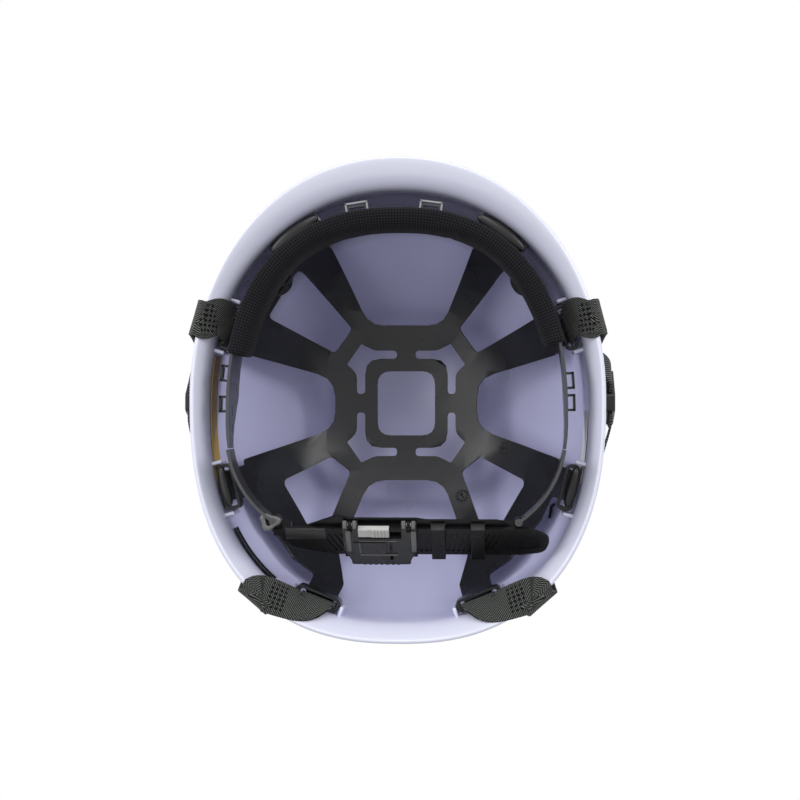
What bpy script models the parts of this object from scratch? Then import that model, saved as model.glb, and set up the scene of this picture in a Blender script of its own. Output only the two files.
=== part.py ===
"""Safety helmet with a moulded shell, hammock, headband, nape adjuster and chin strap.

Metres, +Z up.  The origin lies in the rim plane, on the mid-plane, at the middle of the
head opening.  The crown is at +Z, the peak faces -Y and the nape adjuster is at +Y.
"""
import bpy
import bmesh
import math
from mathutils import Matrix, Vector

MM = 0.001

# ---- driving dimensions: clearances ---------------------------------------------------
GAP = 0.3 * MM                  # between pieces that touch
RUNNING_GAP = 0.3 * MM          # between pieces that move on each other

# ---- driving dimensions: shell --------------------------------------------------------
ROOT_HALF_WIDTH = 107.8 * MM    # where the brim meets the dome, outside
ROOT_HALF_LENGTH = 121.6 * MM
BRIM_SIDE = 6.6 * MM            # how far the brim stands out at the sides
BRIM_END = 12.1 * MM            # and at the front and the rear
RIM_HALF_WIDTH = ROOT_HALF_WIDTH + BRIM_SIDE
RIM_HALF_LENGTH = ROOT_HALF_LENGTH + BRIM_END
ROOT_CENTRE_Y = 3.7 * MM
BRIM_HEIGHT = 13.0 * MM
CROWN_HEIGHT = 146.0 * MM
SHELL_WALL = 2.8 * MM
DOME_POWER = 2.3                # squareness of the dome's side view
FRONT_POWER = 2.1               # squareness of the plan ahead of the middle
REAR_POWER = 2.4                # and behind it
FLARE_POWER = 1.7
SHELL_SIDES = 64
DOME_RINGS = 8
BRIM_RINGS = 4
RIB_DEPTH = 4.2 * MM            # the pairs of ribs that hold each hanger
RIB_THICKNESS = 2.2 * MM
RIB_BOTTOM = 12.0 * MM
RIB_TOP = 31.0 * MM
RIB_ROOT = 0.3 * MM             # how far a rib runs into the wall

# ---- driving dimensions: hangers ------------------------------------------------------
HANGER_ANGLES = {"front": -56.3, "side_front": -21.5, "side_rear": 18.8, "rear": 67.7}
HANGER_DEPTHS = {"front": 6.6 * MM, "side_front": 7.4 * MM, "side_rear": 8.6 * MM, "rear": 7.4 * MM}
HANGER_WIDTH = 26.6 * MM
HANGER_BOTTOM = 14.0 * MM
HANGER_HEIGHT = 13.4 * MM
HANGER_SETBACK = 1.65 * MM       # back of the hanger from the wall
HANGER_WALL = 1.5 * MM
HANGER_SLOT_DEPTH = 3.6 * MM
TONGUE_WIDTH = 8.0 * MM         # reaches from the hanger to the headband
TONGUE_HEIGHT = 5.0 * MM
TONGUE_BOTTOM = 17.0 * MM

# ---- driving dimensions: hammock ------------------------------------------------------
SHEET_THICKNESS = 1.5 * MM
HAMMOCK_EDGE_Z = 23.0 * MM      # end of each leg, inside its hanger
HAMMOCK_RISE = 81.0 * MM
HAMMOCK_POWER = 2.6
HAMMOCK_SHOULDER = 0.625
HAMMOCK_CELL = 12.0 * MM
WINDOW_HALF_X = 17.3 * MM
WINDOW_HALF_Y = 19.3 * MM
WINDOW_RADIUS = 8.0 * MM
RING_BAND = 7.5 * MM            # band round the middle window
BRIDGE_HALF = 5.6 * MM          # half width of the four bridges off that band
ARM_WIDTH = 5.0 * MM            # the narrow arms of the corner holes
OCTAGON_HALF_X = 42.4 * MM
OCTAGON_HALF_Y = 44.5 * MM
OCTAGON_REAR_Y = 48.0 * MM
FORK_FILLET = 14.0 * MM         # where two legs part
LEG_FILLET = 5.0 * MM
HOLE_FILLET = 3.0 * MM
LEG_TAB_WIDTH = 18.0 * MM
LEG_TAB_LENGTH = 8.0 * MM
LEG_TAB_RADIUS = 2.0 * MM
LEG_BENDS = (0.3 * MM, 1.2 * MM, 3.5 * MM, 8.0 * MM)

# ---- driving dimensions: headband and sweatband ---------------------------------------
BAND_INSET_SIDE = 15.3 * MM     # from the root of the brim to the middle of the band
BAND_INSET_FRONT = 15.4 * MM
BAND_INSET_REAR = 43.3 * MM
BAND_CENTRE_Y = 10.0 * MM
BAND_HALF_WIDTH = ROOT_HALF_WIDTH - BAND_INSET_SIDE
BAND_FRONT = ROOT_HALF_LENGTH - ROOT_CENTRE_Y - BAND_INSET_FRONT + BAND_CENTRE_Y
BAND_REAR = ROOT_HALF_LENGTH + ROOT_CENTRE_Y - BAND_INSET_REAR - BAND_CENTRE_Y
BAND_POWER = 2.4
BAND_THICKNESS = 1.6 * MM
BAND_BOTTOM = -5.0 * MM
BAND_HEIGHT = 38.0 * MM
BAND_SPLIT_ANGLE = 10.0         # where the wide band ends and the tails begin
BAND_SPLIT_GAP = 0.6 * MM
TAPER_LENGTH = 30.0 * MM
SLOT_PLACES = ((0.40, -6.1), (0.40, -1.0), (0.40, 3.0), (0.72, -6.1))   # share of height, degrees
FRONT_LOOP = (11.0 * MM, 4.5 * MM)   # width and depth
SIDE_LOOP = (9.0 * MM, 4.0 * MM)
FRONT_LOOP_ANGLES = (-99.7, -81.7)
SIDE_LOOP_ANGLES = (-7.4, -2.6, 182.3, 189.2)
PAD_THICKNESS = 6.2 * MM
PAD_LIP = 1.6 * MM              # the sweatband's turn-up outside the headband
PAD_DROP = 3.2 * MM
PAD_LEFT_ANGLE = 14.0
PAD_RIGHT_ANGLE = 17.0
BAND_SLOT_HALF = 2.6 * MM
LOOP_WALL = 1.2 * MM
LOOP_HEIGHT = 6.0 * MM
LOOP_BOTTOM = -2.6 * MM

# ---- driving dimensions: nape adjuster ------------------------------------------------
STRAP_LEAN = math.radians(46.8)
STRAP_INSET_REAR = 48.8 * MM    # from the root of the brim to the strap's middle
STRAP_MIDDLE = Vector((0.0, ROOT_HALF_LENGTH + ROOT_CENTRE_Y - STRAP_INSET_REAR, -2.0 * MM))
STRAP_WIDTH = 22.0 * MM
STRAP_THICKNESS = 1.8 * MM
STRAP_TIP_X = 84.0 * MM
TOOTH_PITCH = 3.1 * MM
TOOTH_DEPTH = 0.6 * MM
TOOTH_LENGTH = 15.5 * MM
TOOTH_FAN = math.radians(0.53) / MM   # turn of the grooves along the strap
TOOTH_FAN_CENTRE = 13.0 * MM
HINGE_SHARE = 0.719             # vertical hinges at the ends of the two tails, as a share of
HINGE_X = BAND_HALF_WIDTH * HINGE_SHARE   # the band's half width
STRAP_START_X = -HINGE_X + 4.5 * MM
HINGE_HEIGHT = 8.0 * MM
HINGE_BOTTOM = -8.7 * MM
HINGE_PIN_RADIUS = 1.3 * MM
HOOK_RADIUS = 4.3 * MM
TAIL_BOTTOM = -12.0 * MM
TAIL_HEIGHT = 20.0 * MM
TAIL_EYE_RADIUS = 2.1 * MM
PLATE_THICKNESS = 1.4 * MM
BODY_LEFT_X = -28.4 * MM
BODY_RIGHT_X = 11.4 * MM
BODY_WALL = 1.8 * MM
WING_LEFT_X = -51.0 * MM
WING_HALF = 8.0 * MM
WING_TIP_HALF = 4.0 * MM
WING_RISE = 16.5 * MM           # how far the wings reach past the strap's lower edge
WING_BODY_RISE = 15.2 * MM
LUG_WIDTH = 1.9 * MM            # one lug of the frame between two arms of the cover
ARM_LENGTH = 2.8 * MM           # of each arm, along the hinge
COVER_AXIS_DROP = 1.0 * MM      # hinge axis below the strap's outer face
COVER_BARREL_RADIUS = 2.3 * MM
COVER_PIN_RADIUS = 1.0 * MM
COVER_THICKNESS = 2.8 * MM
COVER_FREE_WIDTH = 32.5 * MM
COVER_REACH = 16.0 * MM
COVER_SLOT_EDGE = 9.6 * MM      # from the cover's hinge to the slot beside the button
FINGER_PITCH = 3.1 * MM
FINGER_COUNT = 7
RAIL_DEPTH = 2.4 * MM
BUTTON_LENGTH = 9.5 * MM
BUTTON_BASE_LENGTH = 16.7 * MM
KEEPER_CENTRES = (23.0 * MM, 44.5 * MM)
KEEPER_WIDTH = 7.6 * MM
KEEPER_WALL = 1.4 * MM

# ---- driving dimensions: chin strap ---------------------------------------------------
WEB_WIDTH = 20.0 * MM
WEB_THICKNESS = 1.3 * MM
WEB_CLEARANCE = 0.7 * MM
WEB_LIFT_OFF = 22.0 * MM        # from the buckle's end to where the webbing meets the dome
WEB_UNDER_BAR = 7.0 * MM        # webbing under the buckle's bar
JUNCTION_Y = 0.0 * MM
JUNCTION_X = ROOT_HALF_WIDTH + 9.7 * MM
JUNCTION_Z = 38.0 * MM
JUNCTION_TOP = 12.0 * MM        # top mouth above the junction's middle
JUNCTION_THICKNESS = 5.4 * MM
MOUTH_HALF = 12.0 * MM          # half length of each mouth's edge
# middle of each lower mouth from the junction's middle, and the way its leg leaves, in degrees
JUNCTION_MOUTHS = {"side_front": (-10.0 * MM, -6.0 * MM, 215.0), "rear": (10.0 * MM, -5.0 * MM, -20.0)}
# where each leg crosses the rim, then its route outside as (angle in degrees, height)
LEG_OUTSIDE = {"side_front": (-18.5, [(-17.5, 9.0 * MM), (-13.0, 18.0 * MM)]),
               "rear": (51.5, [(50.5, 8.0 * MM), (46.5, 15.5 * MM), (40.0, 19.5 * MM), (29.0, 21.5 * MM),
                               (17.0, 25.0 * MM)])}
WEB_TURN_SHARE = 0.25           # how far the webbing has turned half way down to the rim
JUNCTION_MOUTH = 4.0 * MM       # depth of the webbing in each mouth
BUCKLE_CENTRE_Z = 122.0 * MM    # height of the dome under the buckle
BUCKLE_WIDTH = 26.0 * MM
BUCKLE_THICKNESS = 7.0 * MM
FEMALE_LENGTH = 28.0 * MM
MALE_LENGTH = 16.0 * MM
PRONG_LENGTH = 19.0 * MM
BUCKLE_WALL = 1.5 * MM
ADJUSTER_LENGTH = 15.0 * MM
ADJUSTER_WALL = 2.0 * MM

SIDES = {"left": -1.0, "right": 1.0}


# ======================================================================================
# helpers
# ======================================================================================
def clear_scene():
    for thing in list(bpy.data.objects):
        bpy.data.objects.remove(thing, do_unlink=True)


def new_collection(name):
    collection = bpy.data.collections.new(name)
    bpy.context.scene.collection.children.link(collection)
    return collection


def material(name, colour, roughness, metallic=0.0):
    made = bpy.data.materials.new(name)
    made.use_nodes = True
    shader = made.node_tree.nodes["Principled BSDF"]
    shader.inputs["Base Color"].default_value = (*colour, 1.0)
    shader.inputs["Roughness"].default_value = roughness
    shader.inputs["Metallic"].default_value = metallic
    return made


def add_object(name, data, paint=None, collection=None):
    thing = bpy.data.objects.new(name, data)
    (collection or PARTS).objects.link(thing)
    if paint:
        data.materials.append(paint)
    return thing


def object_from_bmesh(name, work, paint=None, collection=None):
    mesh = bpy.data.meshes.new(name)
    work.to_mesh(mesh)
    work.free()
    return add_object(name, mesh, paint, collection)


def outline_curve(name, outlines, half_thickness, paint=None, collection=None):
    """A flat outline, with any holes, as a filled 2D curve of the given half thickness."""
    curve = bpy.data.curves.new(name, "CURVE")
    curve.dimensions = "2D"
    curve.fill_mode = "BOTH"
    curve.extrude = half_thickness
    for points in outlines:
        spline = curve.splines.new("POLY")
        spline.points.add(len(points) - 1)
        for knot, point in zip(spline.points, points):
            knot.co = (point[0], point[1], 0.0, 1.0)
        spline.use_cyclic_u = True
    return add_object(name, curve, paint, collection)


def as_mesh(thing, flatten=True):
    """Replace a curve object by its mesh, with the caps welded and flat faces merged."""
    bpy.context.view_layer.update()
    graph = bpy.context.evaluated_depsgraph_get()
    mesh = bpy.data.meshes.new_from_object(thing.evaluated_get(graph))
    work = bmesh.new()
    work.from_mesh(mesh)
    bmesh.ops.remove_doubles(work, verts=work.verts, dist=1e-6)
    bmesh.ops.dissolve_degenerate(work, edges=work.edges, dist=1e-7)
    if flatten:
        bmesh.ops.dissolve_limit(work, angle_limit=math.radians(0.5), verts=work.verts, edges=work.edges)
    bmesh.ops.recalc_face_normals(work, faces=work.faces)
    work.to_mesh(mesh)
    work.free()
    name = thing.name
    home = thing.users_collection[0]
    matrix = thing.matrix_world.copy()
    bpy.data.objects.remove(thing, do_unlink=True)
    solid = bpy.data.objects.new(name, mesh)
    home.objects.link(solid)
    solid.matrix_world = matrix
    return solid


def plate(name, outlines, bottom, height, paint=None, collection=None):
    """A flat plate standing on z = bottom, as a mesh."""
    flat = outline_curve(name, outlines, height / 2, paint, collection)
    flat.location.z = bottom + height / 2
    solid = as_mesh(flat)
    apply_transform(solid)
    return solid


def apply_transform(thing):
    thing.data.transform(thing.matrix_world)
    thing.matrix_world = Matrix.Identity(4)


def box(name, low, high, paint=None, collection=None):
    """A box between two corners, from a unit cube."""
    work = bmesh.new()
    bmesh.ops.create_cube(work, size=1.0)
    low, high = Vector(low), Vector(high)
    size = high - low
    bmesh.ops.scale(work, vec=size, verts=work.verts)
    bmesh.ops.translate(work, vec=(low + high) / 2, verts=work.verts)
    return object_from_bmesh(name, work, paint, collection)


def cylinder(name, radius, start, end, sides=24, paint=None, collection=None):
    """A solid round bar from start to end."""
    start, end = Vector(start), Vector(end)
    axis = end - start
    work = bmesh.new()
    bmesh.ops.create_cone(work, cap_ends=True, segments=sides, radius1=radius, radius2=radius,
                          depth=axis.length)
    turn = axis.to_track_quat("Z", "Y").to_matrix().to_4x4()
    bmesh.ops.transform(work, matrix=Matrix.Translation((start + end) / 2) @ turn, verts=work.verts)
    return object_from_bmesh(name, work, paint, collection)


def boolean(target, tool, operation):
    """Join or cut target with tool, apply it and drop the tool."""
    change = target.modifiers.new(operation.lower(), "BOOLEAN")
    change.operation = operation
    change.solver = "EXACT"
    change.object = tool
    bake(target)
    bpy.data.objects.remove(tool, do_unlink=True)


def join_all(target, tools):
    for tool in tools:
        boolean(target, tool, "UNION")


def cut_all(target, tools):
    for tool in tools:
        boolean(target, tool, "DIFFERENCE")


def bake(thing):
    """Apply every modifier of an object."""
    bpy.context.view_layer.update()
    graph = bpy.context.evaluated_depsgraph_get()
    mesh = bpy.data.meshes.new_from_object(thing.evaluated_get(graph))
    old = thing.data
    thing.modifiers.clear()
    thing.data = mesh
    bpy.data.meshes.remove(old)


def bevel(thing, width, segments=2, angle=40.0):
    rounding = thing.modifiers.new("bevel", "BEVEL")
    rounding.width = width
    rounding.segments = segments
    rounding.limit_method = "ANGLE"
    rounding.angle_limit = math.radians(angle)
    rounding.use_clamp_overlap = True


def shade(thing, angle=35.0):
    thing.data.shade_smooth()
    thing.data.set_sharp_from_angle(angle=math.radians(angle))


def paint_only(thing, paint):
    thing.data.materials.clear()
    thing.data.materials.append(paint)


def set_origin(thing, point):
    """Move an object's origin to a world point, leaving its shape where it is."""
    point = Vector(point)
    thing.data.transform(Matrix.Translation(-point))
    thing.location = point


def rounded(corners, steps=3):
    """A closed outline from corners (x, y, radius), each corner turned into an arc."""
    points = []
    count = len(corners)
    for index, (x, y, radius) in enumerate(corners):
        here = Vector((x, y))
        before = Vector(corners[index - 1][:2]) - here
        after = Vector(corners[(index + 1) % count][:2]) - here
        if radius <= 0.0:
            points.append(tuple(here))
            continue
        half_angle = before.angle(after) / 2
        reach = radius / math.tan(half_angle)
        reach = min(reach, 0.49 * before.length, 0.49 * after.length)
        start = here + before.normalized() * reach
        end = here + after.normalized() * reach
        for step in range(steps + 1):
            t = step / steps
            points.append(tuple(start * (1 - t) ** 2 + here * (2 * t * (1 - t)) + end * t ** 2))
    return points


def rectangle(low_x, low_y, high_x, high_y, radius=0.0, steps=3):
    corners = [(low_x, low_y, radius), (high_x, low_y, radius),
               (high_x, high_y, radius), (low_x, high_y, radius)]
    return rounded(corners, steps)


# ======================================================================================
# the shell's surface
# ======================================================================================
def superellipse(angle, half_x, half_y, centre_y, front_power, rear_power):
    """A point of the plan outline; angle 0 is +X and 90 degrees is +Y."""
    cosine, sine = math.cos(angle), math.sin(angle)
    power = front_power if sine < 0 else rear_power
    x = math.copysign(abs(cosine) ** (2 / power), cosine) * half_x
    y = math.copysign(abs(sine) ** (2 / power), sine) * half_y
    return x, y + centre_y


def shell_point(angle, height, inset=0.0):
    """A point of the shell at a height, inset from its outer surface."""
    rise = max(0.0, height - SHELL_WALL / 2) / (BRIM_HEIGHT - SHELL_WALL / 2)
    flare = max(0.0, 1.0 - rise) ** FLARE_POWER
    half_x = ROOT_HALF_WIDTH + (RIM_HALF_WIDTH - ROOT_HALF_WIDTH) * flare - inset
    half_y = ROOT_HALF_LENGTH + (RIM_HALF_LENGTH - ROOT_HALF_LENGTH) * flare - inset
    centre_y = ROOT_CENTRE_Y * (1.0 - flare)
    share = max(0.0, height - BRIM_HEIGHT) / (CROWN_HEIGHT - inset - BRIM_HEIGHT)
    scale = math.sqrt(max(0.0, 1.0 - min(1.0, share) ** DOME_POWER))
    x, y = superellipse(angle, half_x, half_y, centre_y, FRONT_POWER, REAR_POWER)
    return Vector((x * scale, centre_y + (y - centre_y) * scale, height))


def wall_frame(angle, height, inset):
    """Where a wall point is, with its level outward direction and its tangent."""
    step = 1e-4
    here = shell_point(angle, height, inset)
    tangent = shell_point(angle + step, height, inset) - shell_point(angle - step, height, inset)
    tangent.normalize()
    outward = tangent.cross(Vector((0, 0, 1)))
    if outward.dot(Vector((here.x, here.y - ROOT_CENTRE_Y, 0.0))) < 0:
        outward.negate()
    return here, outward, tangent


def placed_on_wall(angle, inset):
    """A matrix whose X runs along the wall, Y outward and Z up, at the wall's foot."""
    here, outward = wall_frame(angle, BRIM_HEIGHT, inset)[:2]
    along = outward.cross(Vector((0, 0, 1)))
    matrix = Matrix((along, outward, Vector((0, 0, 1)))).transposed().to_4x4()
    return Matrix.Translation((here.x, here.y, 0.0)) @ matrix


def hanger_stations():
    """Name, angle and hanger depth of the eight hangers."""
    stations = []
    for side, sign in SIDES.items():
        for place, degrees in HANGER_ANGLES.items():
            angle = math.radians(degrees if sign > 0 else 180.0 - degrees)
            stations.append((f"{place}_{side}", angle, HANGER_DEPTHS[place]))
    return stations


def brim_ring_height(step):
    """Height of one ring of the brim; the last lies at the top of the rim's round edge."""
    return BRIM_HEIGHT + (SHELL_WALL / 2 - BRIM_HEIGHT) * step / BRIM_RINGS


def make_shell():
    """The dome, brim and rolled rim: one closed wall mapped from a sphere."""
    rings = []
    for step in range(1, DOME_RINGS + 1):
        rise = math.cos(math.pi / 2 * step / DOME_RINGS)
        rings.append((BRIM_HEIGHT + (CROWN_HEIGHT - BRIM_HEIGHT) * rise, 0.0))
    for step in range(1, BRIM_RINGS + 1):
        rings.append((brim_ring_height(step), 0.0))
    rings.append((0.0, SHELL_WALL * 0.25))
    rings.append((0.0, SHELL_WALL * 0.75))
    for step in range(BRIM_RINGS, 0, -1):
        rings.append((brim_ring_height(step), SHELL_WALL))
    inner_crown = CROWN_HEIGHT - SHELL_WALL
    for step in range(DOME_RINGS, 0, -1):
        rise = math.cos(math.pi / 2 * step / DOME_RINGS)
        rings.append((BRIM_HEIGHT + (inner_crown - BRIM_HEIGHT) * rise, SHELL_WALL))

    work = bmesh.new()
    bands = len(rings) + 1
    bmesh.ops.create_uvsphere(work, u_segments=SHELL_SIDES, v_segments=bands, radius=1.0)
    for vertex in work.verts:
        ring = round(math.acos(max(-1.0, min(1.0, vertex.co.z))) / math.pi * bands)
        if ring == 0:
            vertex.co = (0.0, ROOT_CENTRE_Y, CROWN_HEIGHT)
        elif ring == bands:
            vertex.co = (0.0, ROOT_CENTRE_Y, inner_crown)
        else:
            height, inset = rings[ring - 1]
            vertex.co = shell_point(math.atan2(vertex.co.y, vertex.co.x), height, inset)
    shell = object_from_bmesh("shell", work, SHELL_PAINT)
    add_shell_ribs(shell)
    shade(shell, 30)
    return shell


def add_shell_ribs(shell):
    """Two ribs at each hanger, moulded on the inner wall."""
    for name, angle, depth in hanger_stations():
        place = placed_on_wall(angle, SHELL_WALL)
        for side in (-1.0, 1.0):
            edge = side * (HANGER_WIDTH / 2 + GAP)
            far = edge + side * RIB_THICKNESS
            low = (min(edge, far), -HANGER_SETBACK - RIB_DEPTH, RIB_BOTTOM)
            high = (max(edge, far), RIB_ROOT, RIB_TOP)
            rib = box("rib", low, high)
            rib.matrix_world = place
            boolean(shell, rib, "UNION")
    paint_only(shell, SHELL_PAINT)


# ======================================================================================
# the hammock
# ======================================================================================
def hammock_reach():
    """Inset of the line on which the hammock's legs end, from the shell's outer surface."""
    return SHELL_WALL + HANGER_SETBACK + HANGER_WALL + HANGER_SLOT_DEPTH / 2


def hammock_share(x, y):
    """How far a point lies from the middle towards the line where the legs end."""
    half_x = ROOT_HALF_WIDTH - hammock_reach()
    half_y = ROOT_HALF_LENGTH - hammock_reach()
    power = FRONT_POWER if y < ROOT_CENTRE_Y else REAR_POWER
    share = (abs(x) / half_x) ** power + (abs(y - ROOT_CENTRE_Y) / half_y) ** power
    return share ** (1 / power)


def hammock_height(x, y):
    drop = min(hammock_share(x, y), 0.9999) ** HAMMOCK_POWER
    return HAMMOCK_EDGE_Z + HAMMOCK_RISE * (1.0 - drop) ** HAMMOCK_SHOULDER


def hammock_normal(x, y):
    step = 0.1 * MM
    share = min(hammock_share(x, y), 0.9999)
    slope = HAMMOCK_POWER * share ** (HAMMOCK_POWER - 1.0) / (2 * step)
    level_x = slope * (hammock_share(x + step, y) - hammock_share(x - step, y))
    level_y = slope * (hammock_share(x, y + step) - hammock_share(x, y - step))
    lift = (1.0 - share ** HAMMOCK_POWER) ** (1.0 - HAMMOCK_SHOULDER)
    upright = lift / (HAMMOCK_SHOULDER * HAMMOCK_RISE)
    return Vector((level_x, level_y, upright)).normalized()


def leg_tab(place):
    """The straight tab on which a leg ends inside its hanger, on the +X side."""
    here, outward, tangent = wall_frame(math.radians(HANGER_ANGLES[place]), BRIM_HEIGHT, hammock_reach())
    if tangent.y < 0:
        tangent.negate()
    half = tangent * (LEG_TAB_WIDTH / 2)
    back = outward * LEG_TAB_LENGTH
    corners = [here - half - back, here - half, here + half, here + half - back]
    return [(corner.x, corner.y, LEG_TAB_RADIUS) for corner in corners]


def share_point(x, y, fillet):
    """A corner given as shares of the dome's half width and half length."""
    return (x * ROOT_HALF_WIDTH, y * ROOT_HALF_LENGTH, fillet)


def hammock_outline():
    """The outer edge, once round from the front window by way of +X."""
    window_half = OCTAGON_HALF_X * 0.52
    corners = [(0.0, -OCTAGON_HALF_Y, 0.0), (window_half, -OCTAGON_HALF_Y, FORK_FILLET),
               share_point(0.380, -0.724, LEG_FILLET)]
    corners += leg_tab("front")
    corners += [share_point(0.649, -0.576, LEG_FILLET), share_point(0.756, -0.436, LEG_FILLET)]
    corners += leg_tab("side_front")
    corners += [share_point(0.826, -0.214, LEG_FILLET), (OCTAGON_HALF_X, -12.5 * MM, FORK_FILLET)]
    corners += [(OCTAGON_HALF_X, 17.0 * MM, FORK_FILLET), share_point(0.844, 0.280, LEG_FILLET)]
    corners += leg_tab("side_rear")
    corners += [share_point(0.733, 0.567, LEG_FILLET), share_point(0.575, 0.748, LEG_FILLET)]
    corners += leg_tab("rear")
    corners += [share_point(0.3525, 0.740, LEG_FILLET), (window_half, OCTAGON_REAR_Y, FORK_FILLET),
                (0.0, OCTAGON_REAR_Y, 0.0)]
    right = rounded(corners, 3)
    left = [(-x, y) for x, y in reversed(right[1:-1])]
    return right + left


def corner_hole(flip_x, flip_y):
    """One of the four arrow-shaped holes between the ring and the octagon."""
    ring_x = WINDOW_HALF_X + RING_BAND
    ring_y = WINDOW_HALF_Y + RING_BAND
    far_x = ring_x + ARM_WIDTH
    far_y = ring_y + ARM_WIDTH
    tip = ARM_WIDTH * 0.45
    corners = [(ring_x, BRIDGE_HALF, tip), (ring_x, ring_y, 13.0 * MM), (BRIDGE_HALF, ring_y, tip),
               (BRIDGE_HALF, far_y, tip), (OCTAGON_HALF_X * 0.448, far_y, 10.0 * MM),
               (OCTAGON_HALF_X * 0.637, OCTAGON_HALF_Y * 0.804, MM),
               (OCTAGON_HALF_X * 0.840, OCTAGON_HALF_Y * 0.526, MM),
               (far_x, OCTAGON_HALF_Y * 0.404, 8.0 * MM), (far_x, BRIDGE_HALF, tip)]
    return [(x * flip_x, y * flip_y + 2.0 * MM) for x, y in rounded(corners, 3)]


def side_hole(flip_x, front):
    """One of the four windows between two legs of a pair."""
    if front:
        shares = [(0.297, -0.349), (0.392, -0.229), (0.728, -0.395), (0.649, -0.510), (0.557, -0.629)]
    else:
        shares = [(0.308, 0.353), (0.412, 0.279), (0.657, 0.388), (0.654, 0.415), (0.532, 0.600),
                  (0.436, 0.650)]
    corners = [share_point(x, y, HOLE_FILLET) for x, y in shares]
    return [(x * flip_x, y) for x, y in rounded(corners, 3)]


def add_leg_bends(hammock):
    """Extra lines across each leg, where it turns down into its hanger."""
    work = bmesh.new()
    work.from_mesh(hammock.data)
    for name, angle, depth in hanger_stations():
        here, outward = wall_frame(angle, BRIM_HEIGHT, hammock_reach())[:2]
        for back in LEG_BENDS:
            point = here - outward * back
            point.z = 0.0
            everything = work.verts[:] + work.edges[:] + work.faces[:]
            bmesh.ops.bisect_plane(work, geom=everything, plane_co=point, plane_no=outward, dist=1e-7)
    work.to_mesh(hammock.data)
    work.free()


def make_hammock():
    """A moulded sheet cut to its outline while flat, then lifted onto its domed form."""
    holes = [rectangle(-WINDOW_HALF_X, 2.0 * MM - WINDOW_HALF_Y, WINDOW_HALF_X, 2.0 * MM + WINDOW_HALF_Y,
                       WINDOW_RADIUS, 4)]
    for flip_x in (-1.0, 1.0):
        holes += [corner_hole(flip_x, -1.0), corner_hole(flip_x, 1.0)]
        holes += [side_hole(flip_x, True), side_hole(flip_x, False)]
    outline = plate("hammock_outline", [hammock_outline()] + holes, -SHEET_THICKNESS, 2 * SHEET_THICKNESS,
                    None, CUTTERS)
    reach_x = ROOT_HALF_WIDTH
    reach_y = ROOT_HALF_LENGTH + ROOT_CENTRE_Y
    work = bmesh.new()
    bmesh.ops.create_grid(work, x_segments=round(2 * reach_x / HAMMOCK_CELL),
                          y_segments=round(2 * reach_y / HAMMOCK_CELL), size=1.0)
    bmesh.ops.scale(work, vec=(reach_x, reach_y, 1.0), verts=work.verts)
    bmesh.ops.translate(work, vec=(0.0, 0.0, -SHEET_THICKNESS / 2), verts=work.verts)
    grown = bmesh.ops.extrude_face_region(work, geom=work.faces[:])
    raised = [item for item in grown["geom"] if isinstance(item, bmesh.types.BMVert)]
    bmesh.ops.translate(work, vec=(0.0, 0.0, SHEET_THICKNESS), verts=raised)
    bmesh.ops.recalc_face_normals(work, faces=work.faces)
    hammock = object_from_bmesh("hammock", work, BLACK_PLASTIC)
    boolean(hammock, outline, "INTERSECT")
    add_leg_bends(hammock)
    for vertex in hammock.data.vertices:
        x, y, lift = vertex.co
        middle = Vector((x, y, hammock_height(x, y)))
        vertex.co = middle + hammock_normal(x, y) * lift
    paint_only(hammock, BLACK_PLASTIC)
    shade(hammock, 30)
    return hammock


# ======================================================================================
# hangers
# ======================================================================================
def band_point(angle, offset=0.0):
    """A point of the headband's plan, offset outward from its middle line."""
    half_y = BAND_FRONT if math.sin(angle) < 0 else BAND_REAR
    x, y = superellipse(angle, BAND_HALF_WIDTH, half_y, BAND_CENTRE_Y, BAND_POWER, BAND_POWER)
    step = 1e-4
    x1, y1 = superellipse(angle - step, BAND_HALF_WIDTH, half_y, BAND_CENTRE_Y, BAND_POWER, BAND_POWER)
    x2, y2 = superellipse(angle + step, BAND_HALF_WIDTH, half_y, BAND_CENTRE_Y, BAND_POWER, BAND_POWER)
    outward = Vector((y2 - y1, x1 - x2)).normalized()
    return Vector((x, y)) + outward * offset


def band_distance(start, direction):
    """Distance along a level line from start to the headband's outer face."""
    reach = []
    for step in range(1440):
        away = band_point(math.radians(step / 4), BAND_THICKNESS / 2) - start
        across = abs(away.x * direction.y - away.y * direction.x)
        if across < TONGUE_WIDTH / 2 and away.dot(direction) > 0:
            reach.append(away.dot(direction))
    return min(reach)


def make_hanger(name, angle, depth):
    """An oval clip with an upright slot for the hammock's leg and the webbing."""
    back = -HANGER_SETBACK
    front = back - depth
    slot_back = back - HANGER_WALL
    slot_front = front + HANGER_WALL
    half = HANGER_WIDTH / 2
    outer = rectangle(-half, front, half, back, depth * 0.48, 4)
    slot_half = half - HANGER_WALL - 0.9 * MM
    slot = rectangle(-slot_half, slot_front, slot_half, slot_back, HANGER_SLOT_DEPTH * 0.3, 2)
    hanger = plate(name, [outer, slot], HANGER_BOTTOM, HANGER_HEIGHT)
    place = placed_on_wall(angle, SHELL_WALL)
    if name.startswith(("hanger_front", "hanger_side_front")):
        start = (place @ Vector((0.0, front, 0.0))).xy
        direction = (place.to_3x3() @ Vector((0.0, -1.0, 0.0))).xy
        reach = band_distance(start, direction) - GAP
        tongue = box("tongue", (-TONGUE_WIDTH / 2, front - reach, TONGUE_BOTTOM),
                     (TONGUE_WIDTH / 2, front + HANGER_WALL / 3, TONGUE_BOTTOM + TONGUE_HEIGHT))
        boolean(hanger, tongue, "UNION")
    bevel(hanger, 0.4 * MM, 1)
    bake(hanger)
    hanger.matrix_world = place
    paint_only(hanger, BLACK_PLASTIC)
    shade(hanger)
    return hanger


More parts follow.
